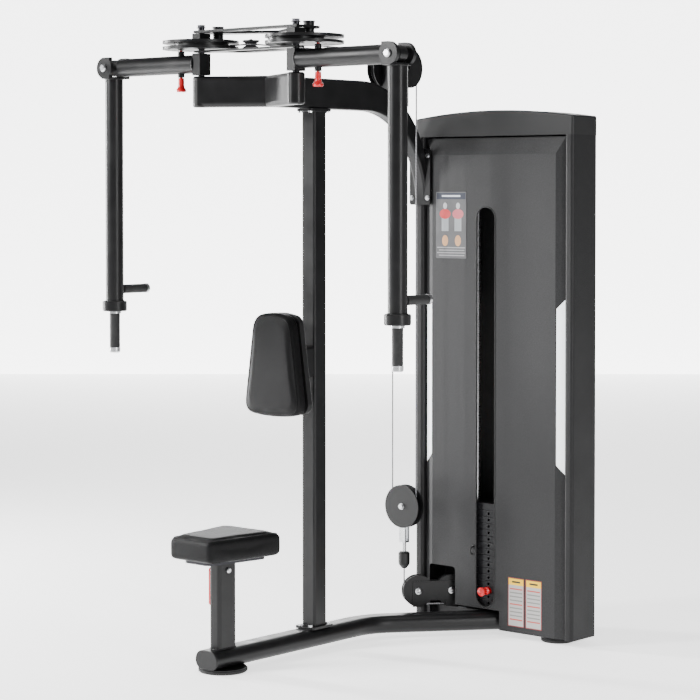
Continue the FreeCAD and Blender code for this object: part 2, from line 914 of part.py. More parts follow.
def yoke_plan(sketch, half, stretch):
    """Plan of the crossbeam: two straight wings swept forward from the apex."""
    slant = root(D.shaft_reach * D.shaft_reach + D.yoke_apex * D.yoke_apex)
    along_x = D.shaft_reach / slant
    along_y = -D.yoke_apex / slant
    tip_x = D.shaft_reach + stretch * along_x
    tip_y = stretch * along_y
    offset = half / along_x
    front_x, front_y = tip_x + half * along_y, tip_y - half * along_x
    back_x, back_y = tip_x - half * along_y, tip_y + half * along_x
    outline(sketch, [(-front_x, front_y), (0, D.yoke_apex - offset), (front_x, front_y),
                     (back_x, back_y), (0, D.yoke_apex + offset), (-back_x, back_y)])


def yoke_block(half, tall, stretch, corner):
    body = new_body()
    sketch = sketch_on(body)
    yoke_plan(sketch, half, stretch)
    pad(body, sketch, tall)
    flat = lies_at(Z_AXIS, 0, tall)

    def long_edge(edge):
        ends = [abs(vertex.Point.x) for vertex in edge.Vertexes]
        return flat(edge) and min(ends) < 1

    soften(body, corner, long_edge)
    return body


def pivot_yoke():
    """Hollow crossbeam with a round boss at each wing tip, bored for the arm shafts."""
    wall = D.tube_wall
    outside = yoke_block(D.yoke_half, D.top_beam_tall, 0, D.yoke_round)
    place(outside, 0, 0, top_beam_low)
    inside = yoke_block(D.yoke_half - wall, D.top_beam_tall - 2 * wall, 1, D.yoke_round - wall)
    place(inside, 0, 0, top_beam_low + wall)
    bosses = []
    bores = []
    for side in (-1, 1):
        rounding = D.yoke_round
        boss = turned([(0, 0), (D.yoke_half - rounding / 3, 0), (D.yoke_half, rounding / 3),
                       (D.yoke_half, D.top_beam_tall - rounding / 3),
                       (D.yoke_half - rounding / 3, D.top_beam_tall), (0, D.top_beam_tall)])
        bosses.append(place(boss, side * D.shaft_reach, 0, top_beam_low))
        bores.append(rod(D.shaft_radius, D.top_beam_tall + 2, side * D.shaft_reach, 0, top_beam_low - 1))
    shell = cut(outside, inside)
    node("pivot_yoke", cut(fuse(shell, *bosses), *bores))
    return outside


def shafts_and_plates():
    """Fixed shafts, the plate that carries the cable spools, and the tie frame over the cams."""
    shafts = []
    nuts = []
    for side in (-1, 1):
        x = side * D.shaft_reach
        shafts.append(rod(D.shaft_radius, shaft_top - top_beam_low, x, 0, top_beam_low))
        nuts.append(bolt(7, x, 0, shaft_top, Z_AXIS))
    node("pivot_shafts", group(*shafts, *nuts))

    lower = new_body()
    sketch = sketch_on(lower)
    reach = D.shaft_reach
    spool_x = D.strand_half + D.guide_spool_pitch
    outline(sketch, [(-reach - 20, -20), (reach + 20, -20), (reach + 20, 20), (reach - 30, 34),
                     (spool_x + 20, D.guide_spool_back + 20), (-spool_x - 20, D.guide_spool_back + 20),
                     (30 - reach, 34), (-reach - 20, 20)])
    for side in (-1, 1):
        circle(sketch, D.shaft_radius, side * reach, 0)
    rounded(sketch, reach, 60, 10, 0, 40)
    pad(lower, sketch, D.spool_plate_thick)
    soften(lower, 8, runs_along(Z_AXIS))
    place(lower, 0, 0, spool_plate_low)
    plate_top = spool_plate_low + D.spool_plate_thick
    tall = cable_level + 18 - plate_top
    pins = [rod(5, tall, side * spool_x, D.guide_spool_back, plate_top) for side in (-1, 1)]
    node("spool_plate", fuse(lower, *pins))

    upper = new_body()
    sketch = sketch_on(upper)
    outer_x = reach + 18
    back = D.idler_back + 22
    apex = D.idler_back + 120
    outline(sketch, [(-outer_x, -18), (outer_x, -18), (outer_x, back), (0, apex), (-outer_x, back)])
    inner_x = reach - 32
    outline(sketch, [(-inner_x, 16), (inner_x, 16), (inner_x, D.idler_back - 26), (0, apex - 46),
                     (-inner_x, D.idler_back - 26)])
    for side in (-1, 1):
        circle(sketch, D.shaft_radius, side * reach, 0)
    pad(upper, sketch, D.tie_thick)
    place(upper, 0, 0, tie_low)

    tie_top = tie_low + D.tie_thick
    stops = []
    for side in (-1, 1):
        x = side * D.idler_out
        radius = D.idler_radius
        upper_part = turned([(0, 0), (radius, 0), (radius, idler_top - tie_top - 5),
                             (radius + 2, idler_top - tie_top - 5), (radius + 2, idler_top - tie_top),
                             (0, idler_top - tie_top)])
        stops.append(place(upper_part, x, D.idler_back, tie_top))
        hanging = tie_low - cam_high - 3
        stops.append(rod(radius, hanging, x, D.idler_back, cam_high + 3))
    node("tie_frame", fuse(upper, *stops))


# ---------------------------------------------------------------- arms


def cam(name, side):
    """Cam on one arm shaft: two eccentric flanges, a concentric cable drum and a ring of index holes."""
    x = side * D.shaft_reach
    shift_x = x + side * D.cam_shift_out
    shift_y = D.cam_shift_back
    groove_low = cam_low + D.cam_flange
    groove_high = groove_low + D.cam_groove
    flange_low = rod(D.cam_radius, D.cam_flange, shift_x, shift_y, cam_low)
    drum = rod(D.drum_radius, D.cam_groove, x, 0, groove_low)
    flange_high = rod(D.cam_radius, D.cam_flange, shift_x, shift_y, groove_high)
    neck = box(D.hub_width, D.hub_depth, tie_low - 2 - cam_high, x, 0, cam_high)
    bore = rod(D.shaft_radius + D.running_gap, shaft_top - cam_low, x, 0, cam_low - 1)
    holes = []
    for step in range(6):
        angle = math.radians(17 * step)
        hole_x = x + side * float(D.pin_reach) * math.cos(angle)
        hole_y = float(D.pin_reach) * math.sin(angle)
        holes.append(rod(D.pin_stem + 0.5, D.cam_flange + 2, hole_x, hole_y, cam_low - 1))
    node(f"{name}_cam", cut(fuse(flange_low, drum, flange_high, neck), bore, fuse(*holes)))


def link(name, side):
    """Level arm: a hub on the shaft, a round tube, and a lug that the swing arm hangs on."""
    x = side * D.shaft_reach
    hub_tall = D.hub_tall
    hub = box(D.hub_width, D.hub_depth, hub_tall, x, 0, hub_low)
    radius = D.arm_tube / 2
    outward = Vector(side, 0, 0)
    tube_start = x + side * (D.hub_width / 2 - 1)
    tube_long = D.link_end - D.shaft_reach - D.hub_width / 2 + 1
    outer = rod(radius, tube_long, tube_start, 0, arm_level, outward)
    lug_long = D.elbow_reach - D.link_end
    lug = box(lug_long + 24, 36, D.arm_tube - 8, side * (D.link_end + (lug_long - 24) / 2), 0,
              arm_level - radius + 4)
    lug_end = rod(radius - 4, 36, side * D.elbow_reach, -18, arm_level, Y_AXIS)
    shaft_bore = rod(D.shaft_radius + D.running_gap, hub_tall + 2, x, 0, hub_low - 1)
    pin_bore = rod(D.elbow_pin + D.running_gap, 60, side * D.elbow_reach, -30, arm_level, Y_AXIS)
    hollow = rod(radius - D.tube_wall, tube_long - 60, side * (D.shaft_reach + D.hub_width / 2 + 6), 0,
                 arm_level, outward)
    sleeve_hole = rod(D.pin_sleeve, D.arm_tube + 20, side * (D.shaft_reach + D.pin_reach), 0,
                      arm_level - radius - 10)
    solid = cut(fuse(hub, outer), hollow)
    arm = cut(fuse(solid, lug, lug_end), shaft_bore, pin_bore, sleeve_hole)

    pin_x = side * (D.shaft_reach + D.pin_reach)
    sleeve_low = knob_high + 2
    sleeve_high = cam_low - 4
    sleeve = round_bar(D.pin_sleeve, D.pin_sleeve - D.pin_stem - 0.1, sleeve_high - sleeve_low)
    node(f"{name}_link", group(arm, place(sleeve, pin_x, 0, sleeve_low)))
    knob_tall = D.knob_tall
    stem_top = cam_low - D.pin_clear - knob_low
    stem = D.pin_stem
    handle = turned([(0, 0), (14, 0), (16.5, 3), (16.5, 8), (11, 16), (10, 24), (10, knob_tall - 2),
                     (8, knob_tall), (stem, knob_tall), (stem, stem_top), (0, stem_top)])
    node(f"{name}_pull_pin", place(handle, pin_x, 0, knob_low))


def swing_arm(name, side):
    """Hanging arm: two ears on the elbow bolt, a long round tube, a ring, a grip and a side handle."""
    x = side * D.elbow_reach
    radius = D.arm_tube / 2
    ears = []
    for face in (-1, 1):
        y = face * D.ear_half_gap
        outward = Vector(0, face, 0)
        disc = rod(D.ear_radius, D.ear_thick, x, y, arm_level, outward)
        square = box(D.ear_inner, D.ear_thick, 2 * D.ear_radius, x - side * D.ear_inner / 2,
                     y + face * D.ear_thick / 2, ear_low)
        ears.extend([disc, square])
    saddle = box(52, 2 * D.ear_half_gap, 6, x, 0, ear_low)
    hole = rod(D.elbow_pin, 2 * D.ear_half_gap + 2 * D.ear_thick + 4, x, -D.ear_half_gap - D.ear_thick - 2,
               arm_level, Y_AXIS)
    bracket = cut(fuse(*ears, saddle), hole)

    long = 2 * (D.ear_half_gap + D.ear_thick)
    start = -D.ear_half_gap - D.ear_thick
    shank = rod(D.elbow_pin, long, x, start, arm_level, Y_AXIS)
    head = turned([(0, 0), (13, 0), (13, 5), (9, 9), (0, 9)])
    stand_across(head, x, start, arm_level, -Y_AXIS)
    tail = turned([(0, 0), (13, 0), (13, 5), (9, 9), (0, 9)])
    stand_across(tail, x, -start, arm_level, Y_AXIS)
    elbow_bolt = fuse(shank, head, tail)

    tube = round_bar(radius, D.tube_wall, ear_low - ring_high)
    place(tube, x, 0, ring_high)

    ring_tall = D.ring_tall
    ring = turned([(0, 0), (D.ring_radius - 3, 0), (D.ring_radius, 3), (D.ring_radius, ring_tall - 3),
                   (D.ring_radius - 3, ring_tall), (0, ring_tall)])
    place(ring, x, 0, ring_low)
    bar_radius = D.side_grip_radius - 4
    peg = rod(bar_radius, D.side_grip_long, x, 0, side_grip_level, Y_AXIS)
    bore = rod(radius - D.tube_wall, ear_low - ring_high, x, 0, ring_high)
    side_bar = cut(peg, bore)
    node(f"{name}_swing_arm", fuse(bracket, tube, ring, side_bar))

    grip_high = ring_low - 8
    grip_long = D.grip_long
    grip = turned([(0, 0), (D.grip_radius, 0), (D.grip_radius, grip_long), (0, grip_long)])
    place(grip, x, 0, grip_low)
    sleeve_start = radius + 8
    sleeve_long = D.side_grip_long - sleeve_start
    sleeve = turned([(bar_radius, 0), (D.side_grip_radius, 0), (D.side_grip_radius, sleeve_long),
                     (bar_radius, sleeve_long)])
    stand_across(sleeve, x, sleeve_start, side_grip_level, Y_AXIS)
    node(f"{name}_grips", group(grip, sleeve))

    collar = rod(D.grip_radius + 4, 8, x, 0, grip_high)
    end_tall = grip_low - grip_end_low
    wide_end = D.grip_radius + 1
    end = turned([(0, 0), (wide_end - 4, 0), (wide_end, 4), (wide_end, end_tall), (0, end_tall)])
    place(end, x, 0, grip_end_low)
    stop_radius = D.side_grip_radius + 1
    stop = turned([(0, 0), (stop_radius, 0), (stop_radius, 10), (stop_radius - 3, 14), (0, 14)])
    stand_across(stop, x, D.side_grip_long, side_grip_level, Y_AXIS)
    node(f"{name}_arm_fittings", group(elbow_bolt, collar, end, stop))


# ---------------------------------------------------------------- weight tower


def columns():
    tall = D.column_top - D.tower_low
    tubes = []
    for x in (D.tower_left + D.column_width / 2, D.tower_right - D.column_width / 2):
        tube = square_bar(D.column_width, D.tower_depth, D.column_round, 2, tall)
        tubes.append(place(tube, x, tower_middle, D.tower_low))
    node("tower_columns", group(*tubes))


def top_cap():
    """Hollow cap over the columns, level at its ends and bowed in the middle."""
    outer = cap_body(0)
    inner = cap_body(D.cap_wall)
    node("tower_cap", cut(outer, inner))


def cap_body(inset):
    body = new_body()
    sketch = sketch_on(body, "XZ_Plane")
    half = (D.tower_right - D.tower_left) / 2 - inset
    side = D.cap_side - inset
    rise = D.cap_middle - D.cap_side
    dome = (half * half - rise * rise) / (2 * rise)
    bottom = 0 if float(inset) == 0 else -1
    corners = [(-half, bottom), (half, bottom), (half, side), (-half, side)]
    outline(sketch, corners, {2: ((0, side - dome), 1)})
    pad(body, sketch, D.tower_depth - 2 * inset, both_ways=True)
    if float(inset) == 0:
        soften(body, D.column_round - 2, runs_along(Z_AXIS))
        soften(body, 6, lambda edge: edge.BoundBox.ZMin > float(D.cap_side) - 0.1)
    return place(body, tower_centre, tower_middle, D.column_top)


def front_panel():
    """Sheet panel with bevelled sides and top, a slot for the selector and openings for the cable."""
    outer = panel_tray(0)
    inner = panel_tray(D.panel_wall)
    slot_width = D.slot_right - D.slot_left
    slot = new_body()
    sketch = sketch_on(slot, "XZ_Plane")
    middle = (D.slot_low + slot_high) / 2
    slot_at = (D.slot_left + D.slot_right) / 2
    rounded(sketch, slot_width, slot_high - D.slot_low, slot_width / 2 - 1, slot_at, middle)
    pad(slot, sketch, 80, both_ways=True)
    place(slot, 0, D.tower_front, 0)
    pulley_gap = new_body()
    sketch = sketch_on(pulley_gap, "XZ_Plane")
    below = D.panel_low - 2 * D.gap_corner
    gap_middle = (D.pulley_gap_top + below) / 2
    rounded(sketch, D.pulley_gap_width, D.pulley_gap_top - below, D.gap_corner, D.pulley_gap_at, gap_middle)
    pad(pulley_gap, sketch, 80, both_ways=True)
    place(pulley_gap, 0, D.tower_front, 0)
    beam_gap = box(D.beam_gap_width, 80, D.beam_gap_top - D.panel_low + 1, D.beam_gap_at, D.tower_front,
                   D.panel_low - 1)
    windows = [window_insert(side, 60, 0.3, through=True) for side in (-1, 1)]
    node("front_panel", cut(outer, inner, slot, pulley_gap, beam_gap, *windows))
    node("panel_windows", group(*[window_insert(side, D.panel_wall, 0) for side in (-1, 1)]))


def panel_edges():
    left = column_inside_left + D.panel_gap
    right = column_inside_right - D.panel_gap
    return left, right


def panel_tray(inset):
    """Raised panel: a flat face with sloping sides and a sloping brow, from the column plane forwards."""
    left, right = panel_edges()
    half = (right - left) / 2 - inset
    flat = half - D.panel_bevel
    tall = panel_high - D.panel_low - inset
    brow = tall - D.panel_brow
    face = inset - D.panel_rise
    over = 1 if float(inset) else 0
    plan = new_body()
    sketch = sketch_on(plan)
    corners = [(-half, 0), (-flat, face), (flat, face), (half, 0)]
    if over:
        corners = [(-half, over)] + corners + [(half, over)]
    outline(sketch, corners)
    pad(plan, sketch, tall + over)
    place(plan, (left + right) / 2, tower_panel_back(), D.panel_low - over)
    side = new_body()
    sketch = sketch_on(side, "YZ_Plane")
    corners = [(face, -over), (face, brow), (0, tall), (0, -over)]
    if over:
        corners = [(face, -over), (face, brow), (0, tall), (over, tall), (over, -over)]
    outline(sketch, corners)
    pad(side, sketch, 2 * half + 40, both_ways=True)
    place(side, (left + right) / 2, tower_panel_back(), D.panel_low)
    return common(plan, side)


def tower_panel_back():
    return D.tower_front + D.panel_step + D.panel_rise


def window_insert(side, thick, gap, through=False):
    """A long translucent strip with slanted ends, set in a sloping side of the front panel."""
    left, right = panel_edges()
    slope = root(D.panel_bevel * D.panel_bevel + D.panel_rise * D.panel_rise)
    body = new_body()
    sketch = sketch_on(body, "XZ_Plane")
    half = D.window_half + gap
    slant = 2 * D.window_half
    low = D.window_low - gap
    high = D.window_high + gap
    shape = [(-half, low), (half, low + slant), (half, high - slant), (-half, high)]
    if side > 0:
        shape = [(-half, low + slant), (half, low), (half, high), (-half, high - slant)]
    outline(sketch, shape)
    pad(body, sketch, thick, both_ways=through)
    middle = (left + D.panel_bevel / 2) if side < 0 else (right - D.panel_bevel / 2)
    tilt = math.degrees(math.atan2(float(D.panel_rise), float(D.panel_bevel)))
    surface_y = tower_panel_back() - D.panel_rise / 2
    sink = D.panel_wall * slope / D.panel_bevel
    place(body, middle, surface_y + sink, 0, Z_AXIS, side * tilt)
    return body


def rails_and_back():
    inside = column_inside_right - column_inside_left
    long = inside
    low = square_bar(D.rail_depth, D.rail_tall, 6, D.tube_wall, long)
    place(low, column_inside_left, rail_at, D.beam_above_floor + D.rail_tall / 2, Y_AXIS, 90)
    high = square_bar(40, D.rail_depth, 6, D.tube_wall, long)
    place(high, column_inside_left, rail_at, D.column_top - 22, Y_AXIS, 90)
    middle = (column_inside_left + column_inside_right) / 2
    bar = box(long, 50, D.guide_bar_thick, middle, rail_at, guide_bar_top - D.guide_bar_thick)
    gaps = [rod(14, 20, x, rail_at, guide_bar_top - 15) for x in (D.stack_at, rise_at)]
    strip = D.panel_gap + 2
    strips = [box(strip, 3, 1600, x, tower_panel_back() + 1.5, 60)
              for x in (column_inside_left + strip / 2, column_inside_right - strip / 2)]
    back = box(inside, 2, D.column_top - D.tower_low - 4, middle,
               tower_back - 8, D.tower_low + 2)
    node("rear_panel", back)
    return [low, high, cut(bar, *gaps), *strips]


def weight_stack():
    y = tower_middle
    x = D.stack_at
    rod_low = D.beam_above_floor + D.rail_tall
    rod_high = guide_bar_top - D.guide_bar_thick
    rods = [rod(D.guide_rod, rod_high - rod_low, x + side * D.rod_spread, y, rod_low) for side in (-1, 1)]
    node("guide_rods", group(*rods))
    buffers = []
    for side in (-1, 1):
        hole = D.guide_rod + 0.5
        tall = D.stack_low - rod_low
        ring = turned([(hole, 0), (24, 0), (22, tall), (hole, tall)])
        buffers.append(place(ring, x + side * D.rod_spread, y, rod_low))
    node("stack_buffers", group(*buffers))

    resting = int(float(D.resting_plates))
    lifted = int(float(D.lifted_plates))
    pin_level = D.stack_low + (D.resting_plates + 0.5) * D.plate_pitch
    node("resting_plates", group(*[weight_plate(x, y, index) for index in range(resting)]))
    node("lifted_plates", group(*[weight_plate(x, y, resting + index) for index in range(lifted)]))

    head = stack_block(D.top_plate_thick, x, y, stack_top, 0.5)
    rod_gap = 0.5
    selector_low = pin_level - D.plate_pitch / 2 + 2
    spine = rod(D.selector_rod - rod_gap, stack_top - selector_low, x, y, selector_low)
    neck = rod(8, 40, x, y, stack_top + D.top_plate_thick)
    cross = rod(D.selector_pin + 0.5, D.stack_depth, x, y - D.stack_depth / 2, pin_level, Y_AXIS)
    node("stack_head", group(head, cut(spine, cross), neck))

    pin_start = y - D.stack_depth / 2
    shank = rod(D.selector_pin, D.stack_depth / 2 + D.selector_rod, x, pin_start, pin_level, Y_AXIS)
    knob = turned([(0, 0), (13, 0), (13, 12), (9, 18), (9, 30), (15, 36), (15, 42), (0, 44)])
    stand_across(knob, x, pin_start - 1, pin_level, -Y_AXIS)
    collar = rod(D.selector_pin, 1, x, pin_start - 1, pin_level, Y_AXIS)
    node("selector_pin", fuse(shank, knob, collar))


def stack_block(thick, x, y, z, clearance):
    """One block of the stack with its guide holes and the bore for the selector rod."""
    body = plate(D.stack_width, D.stack_depth, 6, thick,
                 [(-D.rod_spread, 0), (D.rod_spread, 0)], D.guide_rod + clearance)
    soften(body, 1.5, lies_at(Z_AXIS, 0, thick))
    return place(body, x, y, z)


def weight_plate(x, y, index):
    """Weight plate with a pin hole through its front."""
    thick = D.plate_pitch - D.plate_gap
    low = D.stack_low + index * D.plate_pitch
    block = stack_block(thick, x, y, low, 0.5)
    bore = rod(D.selector_rod, thick + 2, x, y, low - 1)
    pin_hole = rod(D.selector_pin + 0.5, D.stack_depth / 2 + 14, x, y - D.stack_depth / 2 - 1,
                   low + D.plate_pitch / 2, Y_AXIS)
    return cut(block, bore, pin_hole)


def signs():
    """Instruction placard and two warning plates on the front panel."""
    face = D.tower_front + D.panel_step
    placard = new_body()
    sketch = sketch_on(placard, "XZ_Plane")
    rounded(sketch, D.placard_width, D.placard_tall, 4, D.placard_at, D.placard_level)
    pad(placard, sketch, 1)
    notices = [place(placard, 0, face, 0)]
    for middle in (D.notice_at, D.notice_at + D.notice_pitch):
        notice = new_body()
        sketch = sketch_on(notice, "XZ_Plane")
        rounded(sketch, D.notice_width, D.notice_tall, 2, middle, D.notice_level)
        pad(notice, sketch, 0.6)
        notices.append(place(notice, 0, face, 0))
    node("panel_signs", group(*notices))


# ---------------------------------------------------------------- pulleys and cables


def top_pulleys():
    """Two sheaves over the arch, each between cover plates, on one bracket that stands on the arch."""
    axle_start = -D.strand_half - D.sheave_wide / 2 - D.cover_gap - D.cover_thick - 3
    axle = rod(D.axle, -2 * axle_start, axle_start, sheave_at, sheave_level, X_AXIS)
    inner_side = D.strand_half - D.sheave_wide / 2 - D.cover_gap
    block = box(2 * (inner_side - D.cover_thick), 56, 190, 0, sheave_at, sheave_level - 165)
    solid_arch = new_body()
    arch_profile(side := sketch_on(solid_arch, "YZ_Plane"), 0, D.yoke_apex, arch_end)
    pad(solid_arch, side, 4 * D.strand_half, both_ways=True)
    place(solid_arch, 0, 0, 0)
    covers = []
    for name, sign in (("left", -1), ("right", 1)):
        wheel = sheave(D.strand_half - rides, D.sheave_flange, D.sheave_wide, D.axle + D.running_gap)
        stand_across(wheel, sign * D.strand_half, sheave_at, sheave_level, X_AXIS)
        node(f"{name}_top_sheave", wheel)
        for offset in (-1, 1):
            gap = D.sheave_wide / 2 + D.cover_gap + D.cover_thick / 2
            x = sign * D.strand_half + offset * gap
            cover = cover_plate(D.sheave_flange + 11, D.axle)
            covers.append(stand_across(cover, x, sheave_at, sheave_level, X_AXIS))
    node("top_pulley_bracket", fuse(cut(block, solid_arch), axle, *covers))


def cover_plate(radius, bore):
    half = D.cover_thick / 2
    return turned([(bore, -half), (radius, -half), (radius, half), (bore, half)])


def floating_pulley():
    """Pulley that hangs in the two strands, with its cover plates, clevis and cable end."""
    y = D.strand_at
    z = D.float_level
    gap = D.sheave_wide / 2 + D.cover_gap + D.cover_thick / 2
    covers = []
    for face in (-1, 1):
        covers.append(stand_across(cover_plate(D.cover_radius, D.axle), 0, y + face * gap, z, Y_AXIS))
    wheel = sheave(D.strand_half - rides, D.sheave_flange, D.sheave_wide, D.axle + D.running_gap)
    node("floating_sheave", stand_across(wheel, 0, y, z, Y_AXIS))
    half = gap + D.cover_thick / 2
    axle = rod(D.axle, 2 * half, 0, y - half, z, Y_AXIS)
    heads = [bolt(5, 0, y + face * half, z, face * Y_AXIS) for face in (-1, 1)]
    axle_with_heads = fuse(axle, *heads)
    low = 298
    strap_top = z - D.sheave_flange - 4
    strap = box(26, 2 * (gap - D.cover_thick / 2), strap_top - low, 0, y, low)
    hollow = box(28, 2 * (gap - D.cover_thick / 2) - 10, strap_top - low - 16, 0, y, low + 6)
    eye = rod(7, 32, 0, y, low - 32)
    node("floating_clevis", group(fuse(cut(strap, hollow), eye), axle_with_heads))
    fitting = turned([(0, 0), (8, 0), (18, 12), (20, 20), (20, 52), (15, 58), (0, 58)])
    place(fitting, 0, y, low - 32 - 58)
    node("floating_pulley_body", group(*covers, fitting))
    return low - 32 - 58


def lower_pulleys():
    """Two pulleys in the plane of the sloping beam, sharing one pair of cover plates."""
    across = Vector(HEADING.y, -HEADING.x, 0)
    start = Vector(0, float(D.strand_at), float(D.low_level))
    gap = float(D.sheave_wide) / 2 + float(D.cover_gap)
    centres = [start + HEADING * float(D.low_pitch), start + HEADING * float(second_pulley)]
    for name, centre in zip(("lower_front", "lower_rear"), centres):
        wheel = sheave(D.low_pitch - rides, D.low_flange, D.sheave_wide, D.axle + D.running_gap)
        node(f"{name}_sheave", stand_across(wheel, *centre, across))
    angle = math.degrees(math.atan2(HEADING.y, HEADING.x))
    span = second_pulley - D.low_pitch
    foot = D.low_level - beam_top
    arm = D.low_arm_half
    leg = D.low_leg_half
    sides = []
    for face in (-1, 1):
        face_at = gap + (float(D.cover_thick) if face < 0 else 0)
        discs = []
        for centre in centres:
            first = centre + across * (gap if face > 0 else -face_at)
            discs.append(rod(D.low_cover, D.cover_thick, *first, across))
        web = new_body()
        sketch = sketch_on(web, "XZ_Plane")
        outline(sketch, [(-leg, -foot), (leg, -foot), (leg, -arm), (span - leg, -arm), (span - leg, -foot),
                         (span + leg, -foot), (span + leg, arm), (-leg, arm)])
        pad(web, sketch, D.cover_thick)
        place(web, *(centres[0] - across * (face * face_at)), Z_AXIS, angle)
        sides.append(fuse(*discs, web))
    axles = []
    for centre in centres:
        first = centre - across * (gap + float(D.cover_thick) + 4)
        axles.append(rod(D.axle, 2 * (gap + float(D.cover_thick) + 4), *first, across))
    node("lower_pulley_bracket", fuse(*sides, *axles))


def tower_pulley():
    """Large sheave under the head rail that turns the cable down to the stack."""
    x = (rise_at + D.stack_at) / 2
    wheel = sheave(big_radius - rides, big_radius + 5, D.sheave_wide, D.axle + D.running_gap)
    node("tower_sheave", stand_across(wheel, x, tower_middle, tower_sheave_level, Y_AXIS))
    gap = D.sheave_wide / 2 + D.cover_gap
    rail_low = D.column_top - 42
    hangers = []
    for face in (-1, 1):
        middle = tower_middle + face * (gap + 2.5)
        hangers.append(box(40, 5, rail_low - tower_sheave_level + 20, x, middle, tower_sheave_level - 20))
    pin = rod(D.axle, 2 * gap + 14, x, tower_middle - gap - 7, tower_sheave_level, Y_AXIS)
    return fuse(*hangers, pin)


def guide_spools():
    """Small spools that turn each arm cable from its cam towards the back."""
    spool_x = D.strand_half + D.guide_spool_pitch
    wheels = []
    for side in (-1, 1):
        wheel = sheave(D.guide_spool_pitch - rides, D.guide_spool_flange, 28, 5 + D.running_gap)
        wheels.append(place(wheel, side * spool_x, D.guide_spool_back, cable_level))
    node("guide_spools", group(*wheels))


def cables(fitting_low):
    """Cable runs at rest: two from the cams to the floating pulley, one from it to the stack."""
    level = float(cable_level)
    drop_y = float(D.strand_at)
    groove = float(D.strand_half)
    spool_radius = float(D.guide_spool_pitch)
    spool = Vector(groove + spool_radius, float(D.guide_spool_back), level)
    drum = Vector(float(D.shaft_reach), 0, level)
    drum_radius = float(D.drum_radius + rides)
    apart = drum - spool
    bearing = math.atan2(apart.y, apart.x)
    heading = math.acos(-(spool_radius + drum_radius) / apart.Length) - math.pi / 2 + bearing
    way = Vector(math.cos(heading), math.sin(heading), 0)
    square = Vector(-way.y, way.x, 0)
    leaves_spool = spool - square * spool_radius
    meets_drum = drum + square * drum_radius
    corner_y = leaves_spool.y - (leaves_spool.x - groove) * way.y / way.x
    step = math.radians(50)
    ring = []
    for count in (0.5, 1.5):
        turn = math.atan2(square.y, square.x) - step * count
        reach = drum_radius / math.cos(step / 2)
        ring.append(Vector(drum.x + reach * math.cos(turn), drum.y + reach * math.sin(turn), level))
    finish = math.atan2(square.y, square.x) - step * 2
    end = drum + Vector(math.cos(finish), math.sin(finish), 0) * drum_radius
    beyond = end + Vector(math.sin(finish), -math.cos(finish), 0) * 6
    runs = []
    strands = []
    for name, side in (("left", -1), ("right", 1)):
        route = [(groove, drop_y, float(sheave_level)), (groove, drop_y, level), (groove, corner_y, level)]
        route += [(ring[0].x, ring[0].y, level), (ring[1].x, ring[1].y, level), (beyond.x, beyond.y, level)]
        mirrored = [(side * x, y, z) for x, y, z in route]
        runs.append(cable_along(f"{name} arm cable", mirrored, [groove, spool_radius, drum_radius, drum_radius]))
        strand = [(side * groove, drop_y, float(sheave_level)), (side * groove, drop_y, float(D.float_level))]
        strands.append(cable_along(f"{name} strand", strand, []))
    node("arm_strands", group(*strands))
    loop_low = float(D.float_level) - groove
    loop = [(-groove, drop_y, float(D.float_level)), (-groove, drop_y, loop_low), (groove, drop_y, loop_low),
            (groove, drop_y, float(D.float_level))]
    node("float_loop", cable_along("float loop", loop, [groove, groove]))

    radius = float(D.low_pitch)
    start = Vector(0, drop_y, 0)
    bottom = float(D.low_level) - radius
    rise = start + HEADING * float(rise_run)
    top = float(tower_sheave_level)
    front = [(0, drop_y, float(fitting_low)), (0, drop_y, float(D.low_level))]
    node("lift_cable_front", cable_along("front end of the lift cable", front, []))
    big = float(big_radius)
    stack_x = float(D.stack_at)
    run = [(0, drop_y, float(D.low_level)), (0, drop_y, bottom), (rise.x, rise.y, bottom),
           (rise.x, rise.y, top + big), (stack_x, float(tower_middle), top + big),
           (stack_x, float(tower_middle), top)]
    runs.append(cable_along("lift cable", run, [radius, radius, big, big]))
    node("cable_runs", group(*runs))
    stack_hook = float(stack_top) + float(D.top_plate_thick) + 40
    drop = [(stack_x, float(tower_middle), top), (stack_x, float(tower_middle), stack_hook)]
    node("lift_cable_stack", cable_along("stack end of the lift cable", drop, []))


# ---------------------------------------------------------------- fasteners


def bolts(holes, seat_fittings):
    flange_top = beam_top + D.flange_thick
    seats = []
    for x, y in holes:
        seats.append((x, D.upright_at + y, flange_top, Z_AXIS))
        seats.append((x, D.upright_at + y, top_beam_low - D.flange_thick, -Z_AXIS))
    for sign in (1, -1):
        for z in (arch_low() + 12, arch_high() - 12):
            seats.append((sign * 35, D.tower_front - D.flange_thick, z, -Y_AXIS))
    node("frame_bolts", group(*seat_fittings, *[bolt(4, *seat) for seat in seats]))


# ---------------------------------------------------------------- build


def build():
    base_beam()
    base_beam_cap()
    foot_plates = feet()
    holes, upright_flanges = main_upright()
    seat_fittings = seat()
    back_pad()
    envelope = pivot_yoke()
    arch_flange = top_beam(envelope)
    node("frame_flanges", group(*foot_plates, *upright_flanges, arch_flange))
    shafts_and_plates()
    for name, side in (("left", -1), ("right", 1)):
        cam(name, side)
        link(name, side)
        swing_arm(name, side)
    columns()
    top_cap()
    front_panel()
    rails = rails_and_back()
    node("tower_rails", group(*rails, tower_pulley()))
    weight_stack()
    signs()
    top_pulleys()
    fitting_low = floating_pulley()
    lower_pulleys()
    guide_spools()
    cables(fitting_low)
    bolts(holes, seat_fittings)


build()
doc.recompute()

for thing in doc.Objects:
    if "Invalid" in thing.State or "Error" in thing.State:
        raise RuntimeError(f"{thing.Label} failed: {thing.State}")
for piece in NODES:
    shape = piece.Shape
    if shape.isNull() or not shape.isValid() or shape.Volume <= 0:
        raise RuntimeError(f"{piece.Label} is not a sound solid")
for piece in NODES:
    piece.Shape.exportStep(f"parts/{piece.Label}.step")
print(len(NODES), "pieces written")
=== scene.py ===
import json
import math

